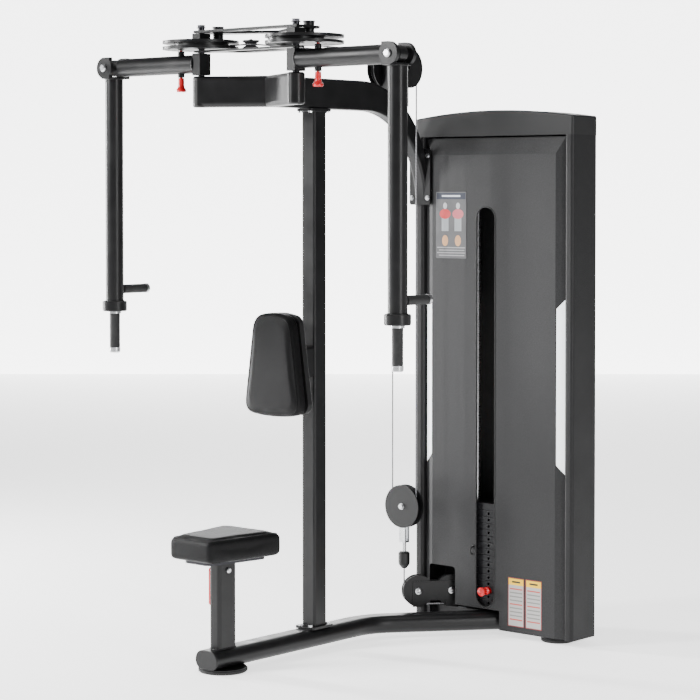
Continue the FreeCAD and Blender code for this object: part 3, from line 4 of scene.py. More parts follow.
import bmesh
import bpy
import numpy as np
from bpy.props import FloatProperty, FloatVectorProperty, IntProperty, PointerProperty
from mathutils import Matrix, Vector


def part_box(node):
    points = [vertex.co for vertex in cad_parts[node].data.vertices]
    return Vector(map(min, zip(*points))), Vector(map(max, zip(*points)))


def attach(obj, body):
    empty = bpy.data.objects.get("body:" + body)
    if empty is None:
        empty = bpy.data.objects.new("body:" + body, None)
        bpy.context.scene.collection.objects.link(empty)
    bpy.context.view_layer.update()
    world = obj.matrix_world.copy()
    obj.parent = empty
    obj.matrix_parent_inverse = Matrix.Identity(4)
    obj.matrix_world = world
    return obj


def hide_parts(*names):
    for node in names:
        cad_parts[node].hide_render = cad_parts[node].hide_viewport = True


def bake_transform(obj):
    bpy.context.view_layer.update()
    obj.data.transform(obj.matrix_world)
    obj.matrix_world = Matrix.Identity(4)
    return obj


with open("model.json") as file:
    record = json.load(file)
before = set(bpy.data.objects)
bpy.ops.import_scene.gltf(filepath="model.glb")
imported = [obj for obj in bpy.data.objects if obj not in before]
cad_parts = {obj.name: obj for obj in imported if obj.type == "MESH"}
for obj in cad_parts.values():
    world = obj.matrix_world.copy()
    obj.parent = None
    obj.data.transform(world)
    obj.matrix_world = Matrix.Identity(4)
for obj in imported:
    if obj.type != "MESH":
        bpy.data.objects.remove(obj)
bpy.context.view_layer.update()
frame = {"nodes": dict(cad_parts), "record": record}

bl_info = {
    "name": "Pec deck machine finish",
    "version": (1, 0, 0),
    "blender": (4, 5, 0),
    "location": "View3D > Sidebar > Pec Deck",
    "description": "Upholstery, cables, welds, finishes and studio for a pec deck machine",
    "category": "Object",
}

NODES = frame["nodes"]
FINISH_OF = {entry["node"]: entry["material_slot"] for entry in frame["record"]["subparts"]}
JOINTS = {joint["name"]: joint for joint in frame["record"]["behaviour"]["joints"]}

# Sizes of the arms that their boxes don't give, in metres.
ARM_RADIUS = 0.030
RING_TALL = 0.034
EARS_TALL = 0.070
HUB_HALF = 0.017
HAND_RADIUS = 0.0175
SIDE_RADIUS = 0.015
COLLAR_TALL = 0.008
SIDE_START = 0.038


# ---------------------------------------------------------------- sizes and colours


def linear(code):
    """Hex sRGB to linear RGBA."""
    parts = np.array([int(code[start:start + 2], 16) for start in (1, 3, 5)]) / 255
    low = parts / 12.92
    high = ((parts + 0.055) / 1.055) ** 2.4
    return (*np.where(parts <= 0.04045, low, high).tolist(), 1.0)


def millimetres(label, value, note):
    return FloatProperty(name=label, description=note, default=value / 1000, subtype="DISTANCE", unit="LENGTH",
                         precision=4)


def hex_colour(label, code, note):
    return FloatVectorProperty(name=label, description=note, default=linear(code), subtype="COLOR", size=4,
                               min=0, max=1)


class UpholsterySizes(bpy.types.PropertyGroup):
    seat_swell: millimetres("Seat swell", 5, "How far the seat's foam may push its cover outwards")
    pad_swell: millimetres("Pad swell", 5, "How far the back pad's foam may push its cover outwards")
    cell: millimetres("Cover mesh size", 5, "Edge length of the cover's mesh before it is filled")
    piping: millimetres("Piping radius", 1.7, "Radius of the welt sewn round each cushion's face")
    pressure: FloatProperty(name="Foam pressure", description="Pressure that fills the covers", default=4.0,
                            min=0)
    seat_taper: FloatProperty(name="Seat taper", description="Seat's front width over its back width",
                              default=90 / 128)
    pad_taper: FloatProperty(name="Pad taper", description="Back pad's top width over its foot's width",
                             default=86 / 131)


class CableSizes(bpy.types.PropertyGroup):
    radius: millimetres("Cable radius", 2.5, "Radius of the coated wire rope")
    lay: millimetres("Lay length", 22, "Length over which a strand of the rope turns once")
    strands: IntProperty(name="Strands", description="Strands that show through the coating", default=6, min=2)


class MetalworkSizes(bpy.types.PropertyGroup):
    bead: millimetres("Weld bead", 2.6, "Radius of a weld bead")
    ripple: millimetres("Weld ripple", 3.4, "Distance between two ripples of a weld bead")
    trim: millimetres("Slot trim", 2.4, "Radius of the edging round the selector slot")
    rib: millimetres("Grip rib", 0.45, "Height of the ribs on the rubber grips")
    slot_width: millimetres("Slot width", 80, "Width of the selector slot's edging")
    slot_foot: millimetres("Slot foot", 92, "Height of the edging's lower end")
    slot_head: millimetres("Slot head", 1462, "Height of the edging's upper end")
    hook_aside: millimetres("Hook aside", 49, "From the slot's middle to the stow hook")
    hook_height: millimetres("Hook height", 295, "Height of the stow hook")
    bolt: millimetres("Bolt radius", 8.5, "Radius of the lower pulleys' bolt heads")
    bolt_stand: millimetres("Bolt stand-off", 19, "From a lower pulley's middle to its bolt head")


class FinishColours(bpy.types.PropertyGroup):
    frame_paint: hex_colour("Frame", "#121213", "Satin powder coat of the beams, arms and cams")
    shroud: hex_colour("Tower", "#282829", "Textured sheet of the tower")
    # Painted shade: the columns carry a darker copy of the tower's coat, standing in for the shade on their side
    # faces.
    column: hex_colour("Tower columns", "#171718", "Tower's textured coat painted darker on the columns as shade")
    cap: hex_colour("Tower cap", "#161617", "Moulded cap of the tower")
    vinyl: hex_colour("Vinyl", "#0d0d0e", "Cover of the seat and back pad")
    rubber: hex_colour("Rubber", "#0e0e0f", "Feet and grips")
    nylon: hex_colour("Pulleys", "#141416", "Turned nylon of the sheaves")
    red: hex_colour("Red", "#c4121a", "Pull pins, seat lever and selector")
    # The strips' colour is also the colour of their painted glow.
    window: hex_colour("Windows", "#f4f4f4", "Milky strips in the front panel")
    zinc: hex_colour("Zinc", "#c9cacc", "Bolts, shafts and rods")
    stack: hex_colour("Stack", "#1b1b1d", "Painted weight plates")
    oxide: hex_colour("Oxide", "#3a3a3d", "Arm shafts and the seat's sliding tube")
    plastic: hex_colour("Plastic", "#0c0c0d", "Small black mouldings")
    jacket: hex_colour("Cable jacket", "#6d6d70", "Nylon over the wire ropes")
    board: hex_colour("Board", "#0e0e0f", "Board behind the back pad")
    floor: hex_colour("Floor", "#ffffff", "Studio floor")


class StageSettings(bpy.types.PropertyGroup):
    azimuth: FloatProperty(name="Azimuth", description="Direction the camera looks, from +Y", default=40.6)
    camera_x: FloatProperty(name="Camera X", description="Camera place across", default=4.799, unit="LENGTH")
    camera_y: FloatProperty(name="Camera Y", description="Camera place along", default=-5.475, unit="LENGTH")
    camera_z: FloatProperty(name="Camera Z", description="Camera height", default=1.510, unit="LENGTH")
    ambient: FloatProperty(name="Ambient", description="Brightness of the surrounding studio", default=0.16)
    floor_glow: FloatProperty(name="Floor glow", description="Light given off by the floor", default=1.5)
    backdrop_glow: FloatProperty(name="Backdrop glow", description="Light given off by the backdrop",
                                 default=4.0)
    backdrop_at: FloatProperty(name="Backdrop distance", description="How far behind", default=11.0,
                               unit="LENGTH")
    lens: FloatProperty(name="Lens", description="Focal length", default=113.0, subtype="DISTANCE_CAMERA")
    tilt: FloatProperty(name="Tilt", description="How far the camera looks down, in degrees", default=1.726)
    rise: FloatProperty(name="Vertical shift", description="Lens shift, in image widths", default=-0.13)


# ---------------------------------------------------------------- shader helpers


def add(tree, kind, inputs=(), **settings):
    """A shader node of one kind. inputs pairs a socket with a value or another node's output."""
    made = tree.nodes.new(kind)
    for key, value in settings.items():
        setattr(made, key, value)
    for socket, value in dict(inputs).items():
        if isinstance(value, bpy.types.NodeSocket):
            tree.links.new(value, made.inputs[socket])
        else:
            made.inputs[socket].default_value = value
    return made


def new_material(name, colour, roughness, **sockets):
    """A principled material, its tree, its shader and its Object coordinates."""
    material = bpy.data.materials.new(name)
    material.use_nodes = True
    tree = material.node_tree
    shader = tree.nodes["Principled BSDF"]
    shader.inputs["Base Color"].default_value = colour
    shader.inputs["Roughness"].default_value = roughness
    for socket, value in sockets.items():
        shader.inputs[socket.replace("_", " ")].default_value = value
    place = add(tree, "ShaderNodeTexCoord").outputs["Object"]
    return material, tree, shader, place


def noise(tree, place, scale, detail=4.0, roughness=0.55):
    """Cloudy noise with scale lumps to the metre."""
    made = add(tree, "ShaderNodeTexNoise",
               {"Vector": place, "Scale": scale, "Detail": detail, "Roughness": roughness})
    return made.outputs["Fac"]


def spread(tree, value, low, high, low_out, high_out):
    made = add(tree, "ShaderNodeMapRange", {"Value": value, "From Min": low, "From Max": high,
                                            "To Min": low_out, "To Max": high_out})
    return made.outputs["Result"]


def tint(tree, shader, colour, factor, dark, light):
    """Let a factor carry the base colour between a darker and a lighter shade of itself."""
    ramp = add(tree, "ShaderNodeValToRGB", {"Fac": factor})
    base = np.array(colour[:3])
    ramp.color_ramp.elements[0].color = (*np.clip(base * dark, 0, 1), 1)
    ramp.color_ramp.elements[1].color = (*np.clip(base * light, 0, 1), 1)
    ramp.color_ramp.elements[0].position = 0.32
    ramp.color_ramp.elements[1].position = 0.68
    tree.links.new(ramp.outputs["Color"], shader.inputs["Base Color"])
    return ramp.outputs["Color"]


def relief(tree, shader, height, depth, strength=1.0, under=None):
    """Bump whose full height is depth, in metres."""
    inputs = {"Height": height, "Distance": depth, "Strength": strength}
    if under is not None:
        inputs["Normal"] = under
    made = add(tree, "ShaderNodeBump", inputs)
    tree.links.new(made.outputs["Normal"], shader.inputs["Normal"])
    return made.outputs["Normal"]


def drive(tree, shader, socket, value):
    tree.links.new(value, shader.inputs[socket])


# ---------------------------------------------------------------- finishes


def powder_coat(name, colour, roughness=0.34):
    """Satin powder coat: orange peel about 1.5 mm across and a faint cloudiness in the gloss."""
    material, tree, shader, place = new_material(name, colour, roughness, Specular_IOR_Level=0.26)
    peel = noise(tree, place, 650, 2)
    clouds = noise(tree, place, 14, 3)
    tint(tree, shader, colour, clouds, 0.86, 1.18)
    drive(tree, shader, "Roughness", spread(tree, clouds, 0.3, 0.7, roughness - 0.05, roughness + 0.07))
    relief(tree, shader, peel, 0.00007, 0.8)
    return material


def textured_sheet(name, colour, roughness=0.52):
    """Fine-texture coat of the tower: 0.7 mm grains that catch the light, over soft clouds."""
    material, tree, shader, place = new_material(name, colour, roughness, Specular_IOR_Level=0.25)
    grain = noise(tree, place, 1400, 2, 0.6)
    speck = noise(tree, place, 320, 3, 0.7)
    clouds = noise(tree, place, 5, 2)
    both = add(tree, "ShaderNodeMath", {0: grain, 1: speck}, operation="MULTIPLY").outputs[0]
    tint(tree, shader, colour, spread(tree, both, 0.12, 0.42, 0.0, 1.0), 0.72, 1.32)
    drive(tree, shader, "Roughness", spread(tree, clouds, 0.3, 0.7, roughness - 0.05, roughness + 0.06))
    relief(tree, shader, grain, 0.00014, 0.9)
    return material


def moulded_plastic(name, colour, roughness=0.5):
    """Moulded plastic with a spark-eroded grain under a millimetre and slight flow marks."""
    material, tree, shader, place = new_material(name, colour, roughness, Specular_IOR_Level=0.35)
    grain = noise(tree, place, 1100, 3)
    flow = noise(tree, place, 9, 2, 0.4)
    tint(tree, shader, colour, flow, 0.88, 1.14)
    drive(tree, shader, "Roughness", spread(tree, grain, 0.3, 0.7, roughness - 0.06, roughness + 0.08))
    relief(tree, shader, grain, 0.00008, 0.7)
    return material


def upholstery_vinyl(name, colour, roughness=0.4):
    """Leather-grain vinyl: pebbles about 1.6 mm across parted by creases painted darker as shade, over soft hand
    wrinkles.
    """
    material, tree, shader, place = new_material(name, colour, roughness, Specular_IOR_Level=0.12)
    warp = add(tree, "ShaderNodeTexNoise", {"Vector": place, "Scale": 220.0, "Detail": 2.0}).outputs["Color"]
    nudge = add(tree, "ShaderNodeVectorMath", {0: warp, 1: (0.0012, 0.0012, 0.0012)},
                operation="MULTIPLY").outputs[0]
    moved = add(tree, "ShaderNodeVectorMath", {0: place, 1: nudge}, operation="ADD").outputs[0]
    cells = add(tree, "ShaderNodeTexVoronoi", {"Vector": moved, "Scale": 620.0}, feature="DISTANCE_TO_EDGE")
    pebble = spread(tree, cells.outputs["Distance"], 0.0, 0.22, 0.0, 1.0)
    wrinkles = noise(tree, place, 26, 3)
    # Painted shade: the tint darkens the creases between pebbles and lightens the pebble tops.
    tint(tree, shader, colour, pebble, 0.80, 1.10)
    drive(tree, shader, "Roughness", spread(tree, pebble, 0.0, 1.0, roughness + 0.12, roughness - 0.03))
    soft = relief(tree, shader, wrinkles, 0.0009, 0.35)
    relief(tree, shader, pebble, 0.00016, 0.8, soft)
    return material


def zinc_plate(name, colour, roughness=0.27):
    """Plated steel: level turning lines about 0.45 mm apart and a slight bloom."""
    material, tree, shader, place = new_material(name, colour, roughness, Metallic=1.0)
    lines = add(tree, "ShaderNodeMapping", {"Vector": place, "Scale": (60.0, 60.0, 2200.0)}).outputs[0]
    turned = add(tree, "ShaderNodeTexNoise", {"Vector": lines, "Scale": 1.0, "Detail": 2.0}).outputs["Fac"]
    bloom = noise(tree, place, 60, 3)
    tint(tree, shader, colour, bloom, 0.82, 1.05)
    drive(tree, shader, "Roughness", spread(tree, turned, 0.3, 0.7, roughness - 0.06, roughness + 0.10))
    relief(tree, shader, turned, 0.00004, 0.6)
    return material


def rubber(name, colour, roughness=0.68):
    """Moulded rubber: dull, with a dusty bloom and a 1 mm skin texture."""
    material, tree, shader, place = new_material(name, colour, roughness)
    skin = noise(tree, place, 1000, 3)
    dust = noise(tree, place, 40, 4, 0.65)
    tint(tree, shader, colour, dust, 0.85, 1.45)
    drive(tree, shader, "Roughness", spread(tree, dust, 0.3, 0.7, roughness - 0.08, roughness + 0.12))
    relief(tree, shader, skin, 0.00012, 0.8)
    return material


def glossy_plastic(name, colour, roughness=0.22):
    """Injection-moulded gloss plastic with the faintest shrink ripple."""
    material, tree, shader, place = new_material(name, colour, roughness, Coat_Weight=0.4, Coat_Roughness=0.12)
    shrink = noise(tree, place, 90, 2)
    handled = noise(tree, place, 25, 4, 0.7)
    tint(tree, shader, colour, shrink, 0.9, 1.12)
    drive(tree, shader, "Roughness", spread(tree, handled, 0.3, 0.7, roughness - 0.04, roughness + 0.14))
    relief(tree, shader, shrink, 0.0001, 0.5)
    return material


def milky_sheet_painted_glow(name, colour):
    """Milky polycarbonate strip that glows a little: the glow is painted, an emission standing in for light
    behind it.
    """
    # Painted glow: the emission lights the strip in its own colour, though it is no lamp.
    material, tree, shader, place = new_material(name, colour, 0.3, Subsurface_Weight=0.2,
                                                 Emission_Strength=1.6)
    shader.inputs["Emission Color"].default_value = colour
    haze = noise(tree, place, 18, 3)
    tint(tree, shader, colour, haze, 0.95, 1.04)
    drive(tree, shader, "Roughness", spread(tree, haze, 0.3, 0.7, 0.24, 0.38))
    relief(tree, shader, noise(tree, place, 500, 2), 0.00003, 0.5)
    return material


def turned_nylon(name, colour, roughness=0.42):
    """Turned nylon: a fine tooth about 1.4 mm across in its gloss, over faint clouds."""
    material, tree, shader, place = new_material(name, colour, roughness)
    rings = noise(tree, place, 700, 1, 0.4)
    clouds = noise(tree, place, 30, 3)
    tint(tree, shader, colour, clouds, 0.85, 1.2)
    drive(tree, shader, "Roughness", spread(tree, rings, 0.3, 0.7, roughness - 0.05, roughness + 0.09))
    relief(tree, shader, rings, 0.00006, 0.6)
    return material


def cable_jacket(name, colour, roughness=0.4):
    """Nylon jacket over wire rope: the lay shows as slanting ridges."""
    material, tree, shader, place = new_material(name, colour, roughness, Coat_Weight=0.3, Coat_Roughness=0.25)
    slant = add(tree, "ShaderNodeTexWave", {"Vector": place, "Scale": 55.0, "Distortion": 0.4},
                wave_type="BANDS", bands_direction="DIAGONAL").outputs["Fac"]
    tint(tree, shader, colour, slant, 0.75, 1.35)
    drive(tree, shader, "Roughness", spread(tree, slant, 0.0, 1.0, roughness + 0.1, roughness - 0.05))
    relief(tree, shader, slant, 0.0002, 0.7)
    return material


def box_mask(tree, across, up, centre_x, centre_z, width, tall):
    """1 inside a rectangle of the front panel's face, 0 outside."""
    near_x = add(tree, "ShaderNodeMath", {0: across, 1: centre_x, 2: width / 2}, operation="COMPARE").outputs[0]
    near_z = add(tree, "ShaderNodeMath", {0: up, 1: centre_z, 2: tall / 2}, operation="COMPARE").outputs[0]
    return add(tree, "ShaderNodeMath", {0: near_x, 1: near_z}, operation="MULTIPLY").outputs[0]


def disc_mask(tree, place, centre_x, centre_z, radius_x, radius_z):
    """1 inside an ellipse of the front panel's face, 0 outside."""
    shifted = add(tree, "ShaderNodeVectorMath", {0: place, 1: (centre_x, 0.0, centre_z)},
                  operation="SUBTRACT").outputs[0]
    scaled = add(tree, "ShaderNodeVectorMath", {0: shifted, 1: (1 / radius_x, 0.0, 1 / radius_z)},
                 operation="MULTIPLY").outputs[0]
    far = add(tree, "ShaderNodeVectorMath", {0: scaled}, operation="LENGTH").outputs["Value"]
    return add(tree, "ShaderNodeMath", {0: far, 1: 1.0}, operation="LESS_THAN").outputs[0]


def printed_signs(name):
    """A placard with two plain exercise pictograms and ruled lines, and two notices with a yellow head.

    Each print is a mask and a colour, laid over the ones before it."""
    plate = linear("#4b4b4d")
    material, tree, shader, place = new_material(name, plate, 0.38)
    axes = add(tree, "ShaderNodeSeparateXYZ", {"Vector": place}).outputs
    across, up = axes["X"], axes["Z"]
    low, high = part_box("panel_signs")
    left = low.x
    top = high.z
    prints = [(box_mask(tree, across, up, left + 0.066, top - 0.014, 0.126, 0.022), "#10182c")]
    prints += [(box_mask(tree, across, up, left + 0.066, top - 0.014, 0.080, 0.006), "#c8ccd4")]
    for column, torso in ((0.040, "#b3272b"), (0.096, "#b45a62")):
        x = left + column
        prints += [
            (disc_mask(tree, place, x, top - 0.048, 0.0085, 0.011), "#a9a9ab"),
            (box_mask(tree, across, up, x, top - 0.104, 0.030, 0.062), "#8b8f92"),
            (disc_mask(tree, place, x, top - 0.076, 0.024, 0.017), torso),
            (disc_mask(tree, place, x, top - 0.168, 0.013, 0.019), "#b98c62"),
        ]
    for line in range(4):
        prints.append((box_mask(tree, across, up, left + 0.066 + 0.003 * (line % 2), top - 0.192 - 0.009 * line,
                                0.122 - 0.012 * (line % 2), 0.0035), "#8a8a8c"))
    for centre in (low.x + 0.3465, low.x + 0.4195):
        prints += [
            (box_mask(tree, across, up, centre, low.z + 0.083, 0.067, 0.166), "#7d2a2c"),
            (box_mask(tree, across, up, centre, low.z + 0.083, 0.061, 0.160), "#a9a8a5"),
            (box_mask(tree, across, up, centre, low.z + 0.152, 0.061, 0.022), "#f2c200"),
            (box_mask(tree, across, up, centre, low.z + 0.152, 0.034, 0.006), "#26241c"),
        ]
        for line in range(9):
            colour = "#b7483f" if line % 4 == 0 else "#7b7a78"
            ruled = box_mask(tree, across, up, centre, low.z + 0.128 - 0.013 * line, 0.053, 0.0045)
            prints.append((ruled, colour))
    shade = add(tree, "ShaderNodeRGB")
    shade.outputs[0].default_value = plate
    result = shade.outputs[0]
    for mask, colour in prints:
        mixed = add(tree, "ShaderNodeMix", {"Factor": mask, "A": result}, data_type="RGBA")
        mixed.inputs["B"].default_value = linear(colour)
        result = mixed.outputs["Result"]
    tree.links.new(result, shader.inputs["Base Color"])
    haze = noise(tree, place, 35, 3)
    drive(tree, shader, "Roughness", spread(tree, haze, 0.3, 0.7, 0.3, 0.46))
    relief(tree, shader, noise(tree, place, 900, 2), 0.00003, 0.5)
    return material


def studio_floor(name, colour, glow):
    """Pale matt sheet, a little lit from behind, with a barely visible tooth."""
    material, tree, shader, place = new_material(name, colour, 0.9, Emission_Strength=glow)
    shader.inputs["Emission Color"].default_value = colour
    tooth = noise(tree, place, 40, 3)
    tint(tree, shader, colour, tooth, 0.985, 1.0)
    relief(tree, shader, tooth, 0.0002, 0.2)
    return material


# ---------------------------------------------------------------- surface helpers


def skin(name, points, close_around=True, close_along=False):
    """A mesh from a grid of points of shape (rows, columns, 3). Rows that fall on one point become a pole."""
    rows, columns, _ = points.shape
    row_count = rows if close_along else rows - 1
    column_count = columns if close_around else columns - 1
    row, column = np.meshgrid(np.arange(row_count), np.arange(column_count), indexing="ij")
    next_row = (row + 1) % rows
    next_column = (column + 1) % columns
    faces = np.stack([row * columns + column, row * columns + next_column,
                      next_row * columns + next_column, next_row * columns + column], axis=-1).reshape(-1, 4)
    mesh = bpy.data.meshes.new(name)
    mesh.from_pydata(points.reshape(-1, 3).tolist(), [], faces.tolist())
    tidy = bmesh.new()
    tidy.from_mesh(mesh)
    bmesh.ops.remove_doubles(tidy, verts=tidy.verts, dist=1e-6)
    bmesh.ops.dissolve_degenerate(tidy, dist=1e-7, edges=tidy.edges)
    bmesh.ops.recalc_face_normals(tidy, faces=tidy.faces)
    tidy.to_mesh(mesh)
    tidy.free()
    mesh.polygons.foreach_set("use_smooth", np.ones(len(mesh.polygons), bool))
    piece = bpy.data.objects.new(name, mesh)
    bpy.context.scene.collection.objects.link(piece)
    return piece


def join(name, pieces):
    """Several meshes made one, with no transform."""
    merged = bmesh.new()
    for piece in pieces:
        merged.from_mesh(piece.data)
        bpy.data.objects.remove(piece)
    mesh = bpy.data.meshes.new(name)
    merged.to_mesh(mesh)
    merged.free()
    mesh.polygons.foreach_set("use_smooth", np.ones(len(mesh.polygons), bool))
    whole = bpy.data.objects.new(name, mesh)
    bpy.context.scene.collection.objects.link(whole)
    return whole


def rounded_outline(corners, radius, count):
    """count points spaced evenly along a polygon whose corners are arcs of one radius.

    Each corner's arc is its centre plus radius times the unit circle, between the normals of its two sides."""
    corners = np.asarray(corners, float)
    before = np.roll(corners, 1, axis=0) - corners
    after = np.roll(corners, -1, axis=0) - corners
    before /= np.linalg.norm(before, axis=1, keepdims=True)
    after /= np.linalg.norm(after, axis=1, keepdims=True)
    half = np.arccos(np.clip((before * after).sum(1), -1, 1)) / 2
    inward = before + after
    inward /= np.linalg.norm(inward, axis=1, keepdims=True)
    centres = corners + inward * (radius / np.sin(half))[:, None]
    sweep = (np.pi - 2 * half)[:, None] * np.linspace(-0.5, 0.5, 24)[None, :]
    bearing = np.arctan2(-inward[:, 1], -inward[:, 0])[:, None] + sweep
    arcs = centres[:, None, :] + radius * np.stack([np.cos(bearing), np.sin(bearing)], axis=-1)
    path = arcs.reshape(-1, 2)
    return even_steps(np.vstack([path, path[:1]]), count)


def even_steps(path, count):
    """count points at equal distances along a closed path whose last point repeats its first."""
    run = np.concatenate([[0], np.cumsum(np.linalg.norm(np.diff(path, axis=0), axis=1))])
    wanted = np.linspace(0, run[-1], count, endpoint=False)
    return np.stack([np.interp(wanted, run, path[:, axis]) for axis in range(path.shape[1])], axis=-1)


def cushion_surface(name, outline, thick, lift, flat=9.0, side=7.0, crown=0.0, rows=72):
    """A closed crowned form over a plan outline.

    A row at angle a from the bottom pole, -90 to 90 degrees, is the outline shrunk to cos(a)^(2/side) about its
    middle, at height sin(a)^(2/flat) of half the thickness, plus crown times one minus the shrink squared."""
    middle = outline.mean(axis=0)
    angle = np.linspace(-np.pi / 2, np.pi / 2, rows)[:, None]
    shrink = np.abs(np.cos(angle)) ** (2 / side)
    shrink[0] = shrink[-1] = 0
    height = np.sign(np.sin(angle)) * np.abs(np.sin(angle)) ** (2 / flat) * thick / 2
    height = height + np.where(angle > 0, crown * (1 - shrink ** 2), 0)
    plan = middle[None, None, :] + shrink[:, :, None] * (outline[None, :, :] - middle[None, None, :])
    up = np.broadcast_to(height + lift, plan.shape[:2])
    return np.dstack([plan, up])


def tube_points(path, radius, reference, sides=16, closed=False, lobes=0, lay=1.0, ripple=0.0,
                ripple_pitch=1.0):
    """Rings of points round a path.

    The ring radius is radius times 1 plus a twentieth of the cosine of lobes times the angle less the turn of
    the lay, plus ripple times the cosine of the distance over the ripple pitch."""
    path = np.asarray(path, float)
    run = np.concatenate([[0], np.cumsum(np.linalg.norm(np.diff(path, axis=0), axis=1))])
    if closed:
        ahead = np.roll(path, -1, axis=0) - np.roll(path, 1, axis=0)
    else:
        ahead = np.gradient(path, axis=0)
    ahead /= np.linalg.norm(ahead, axis=1, keepdims=True)
    sideways = np.cross(ahead, np.asarray(reference, float))
    sideways /= np.linalg.norm(sideways, axis=1, keepdims=True)
    upwards = np.cross(sideways, ahead)
    angle = np.linspace(0, 2 * np.pi, sides, endpoint=False)[None, :]
    turn = 2 * np.pi * run[:, None] / lay
    lobed = 0.05 * np.cos(lobes * (angle - turn)) if lobes else 0
    size = radius * (1 + lobed) + ripple * np.cos(2 * np.pi * run[:, None] / ripple_pitch)
    return (path[:, None, :] + size[:, :, None] * (np.cos(angle)[:, :, None] * sideways[:, None, :]
                                                   + np.sin(angle)[:, :, None] * upwards[:, None, :]))


def capped(rings):
    """Close an open tube's two ends with a pole each."""
    first = np.broadcast_to(rings[0].mean(axis=0), rings[:1].shape)
    last = np.broadcast_to(rings[-1].mean(axis=0), rings[-1:].shape)
    return np.concatenate([first, rings, last])


def turned_points(profile, origin, axis, sides=48):
    """A surface of revolution: each (radius, distance) of the profile turned about axis through origin."""
    profile = np.asarray(profile, float)
    axis = np.asarray(axis, float)
    helper = np.array([1.0, 0, 0]) if abs(axis[0]) < 0.5 else np.array([0, 0, 1.0])
    first = np.cross(axis, helper)
    first /= np.linalg.norm(first)
    second = np.cross(axis, first)
    angle = np.linspace(0, 2 * np.pi, sides, endpoint=False)
    spokes = np.cos(angle)[:, None] * first + np.sin(angle)[:, None] * second
    return (np.asarray(origin, float) + profile[:, 1][:, None, None] * axis
            + profile[:, 0][:, None, None] * spokes[None, :, :])


def finish_piece(piece, body, material, stands_for=()):
    """Give a new piece its finish and the body it rides on."""
    piece.data.materials.clear()
    piece.data.materials.append(material)
    if stands_for:
        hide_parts(*stands_for)
    if body:
        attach(piece, body)
    return piece


# ---------------------------------------------------------------- upholstery


def remeshed(piece, cell):
    """Apply a voxel remesh and keep the piece at the origin."""
    step = piece.modifiers.new("Even mesh", "REMESH")
    step.mode = "VOXEL"
    step.voxel_size = cell
    take_shape(piece)


def take_shape(piece):
    """Apply every modifier of a piece."""
    shaped = bpy.data.meshes.new_from_object(piece.evaluated_get(bpy.context.evaluated_depsgraph_get()))
    piece.modifiers.clear()
    old = piece.data
    piece.data = shaped
    bpy.data.meshes.remove(old)


def coordinates(mesh):
    values = np.empty(len(mesh.vertices) * 3, np.float64)
    mesh.vertices.foreach_get("co", values)
    return values.reshape(-1, 3)


def normals(mesh, spots):
    """Vertex normals of a mesh as it stands at spots."""
    mesh.vertices.foreach_set("co", spots.ravel())
    mesh.update()
    values = np.empty(len(mesh.vertices) * 3, np.float32)
    mesh.vertices.foreach_get("normal", values)
    return values.reshape(-1, 3).astype(np.float64)


def evened(mesh, values, rounds):
    """Average a value per vertex with its neighbours, so that the foam swells without creases."""
    ends = np.empty(len(mesh.edges) * 2, np.int32)
    mesh.edges.foreach_get("vertices", ends)
    first, second = ends.reshape(-1, 2).T
    count = np.bincount(ends, minlength=len(values))
    for _ in range(rounds):
        total = np.bincount(first, values[second], len(values))
        total = total + np.bincount(second, values[first], len(values))
        values = 0.5 * values + 0.5 * total / np.maximum(count, 1)
    return values


def fill_cover(piece, sizes, cap, back_face):
    """Blow a cover up with cloth pressure and keep the smooth outward part, up to cap. Its flat back is held."""
    scene = bpy.context.scene
    before = coordinates(piece.data)
    held = piece.vertex_groups.new(name="held")
    held.add(np.flatnonzero(back_face(before)).tolist(), 1.0, "REPLACE")
    cloth = piece.modifiers.new("Fill", "CLOTH")
    cloth.settings.quality = 6
    cloth.settings.mass = 0.4
    cloth.settings.tension_stiffness = 40
    cloth.settings.compression_stiffness = 40
    cloth.settings.bending_stiffness = 8
    cloth.settings.use_pressure = True
    cloth.settings.uniform_pressure_force = sizes.pressure
    cloth.settings.vertex_group_mass = "held"
    cloth.settings.effector_weights.gravity = 0
    cloth.collision_settings.use_collision = False
    cloth.point_cache.frame_start = 1
    cloth.point_cache.frame_end = 20
    for step in range(1, 21):
        scene.frame_set(step)
    take_shape(piece)
    scene.frame_set(1)
    after = coordinates(piece.data)
    outwards = normals(piece.data, before)
    push = ((after - before) * outwards).sum(axis=1)
    push = np.clip(evened(piece.data, push, 30), 0, cap)
    piece.data.vertices.foreach_set("co", (before + outwards * push[:, None]).ravel())
    piece.data.update()
    piece.vertex_groups.clear()


def smooth_twice(piece):
    step = piece.modifiers.new("Smooth cover", "SUBSURF")
    step.levels = step.render_levels = 1
    piece.data.polygons.foreach_set("use_smooth", np.ones(len(piece.data.polygons), bool))


def welt(name, path, onto, radius, reference):
    """Piping that lies on a cushion: the path is drawn onto the cover, then a tube is run along it."""
    mesh = bpy.data.meshes.new(name)
    count = len(path)
    edges = np.stack([np.arange(count), (np.arange(count) + 1) % count], axis=-1)
    mesh.from_pydata(path.tolist(), edges.tolist(), [])
    guide = bpy.data.objects.new(name + "_guide", mesh)
    bpy.context.scene.collection.objects.link(guide)
    wrap = guide.modifiers.new("Onto cover", "SHRINKWRAP")
    wrap.target = onto
    wrap.wrap_method = "NEAREST_SURFACEPOINT"
    take_shape(guide)
    line = coordinates(guide.data)
    bpy.data.objects.remove(guide)
    rings = tube_points(line, radius, reference, sides=12, closed=True)
    return skin(name, rings, close_along=True)


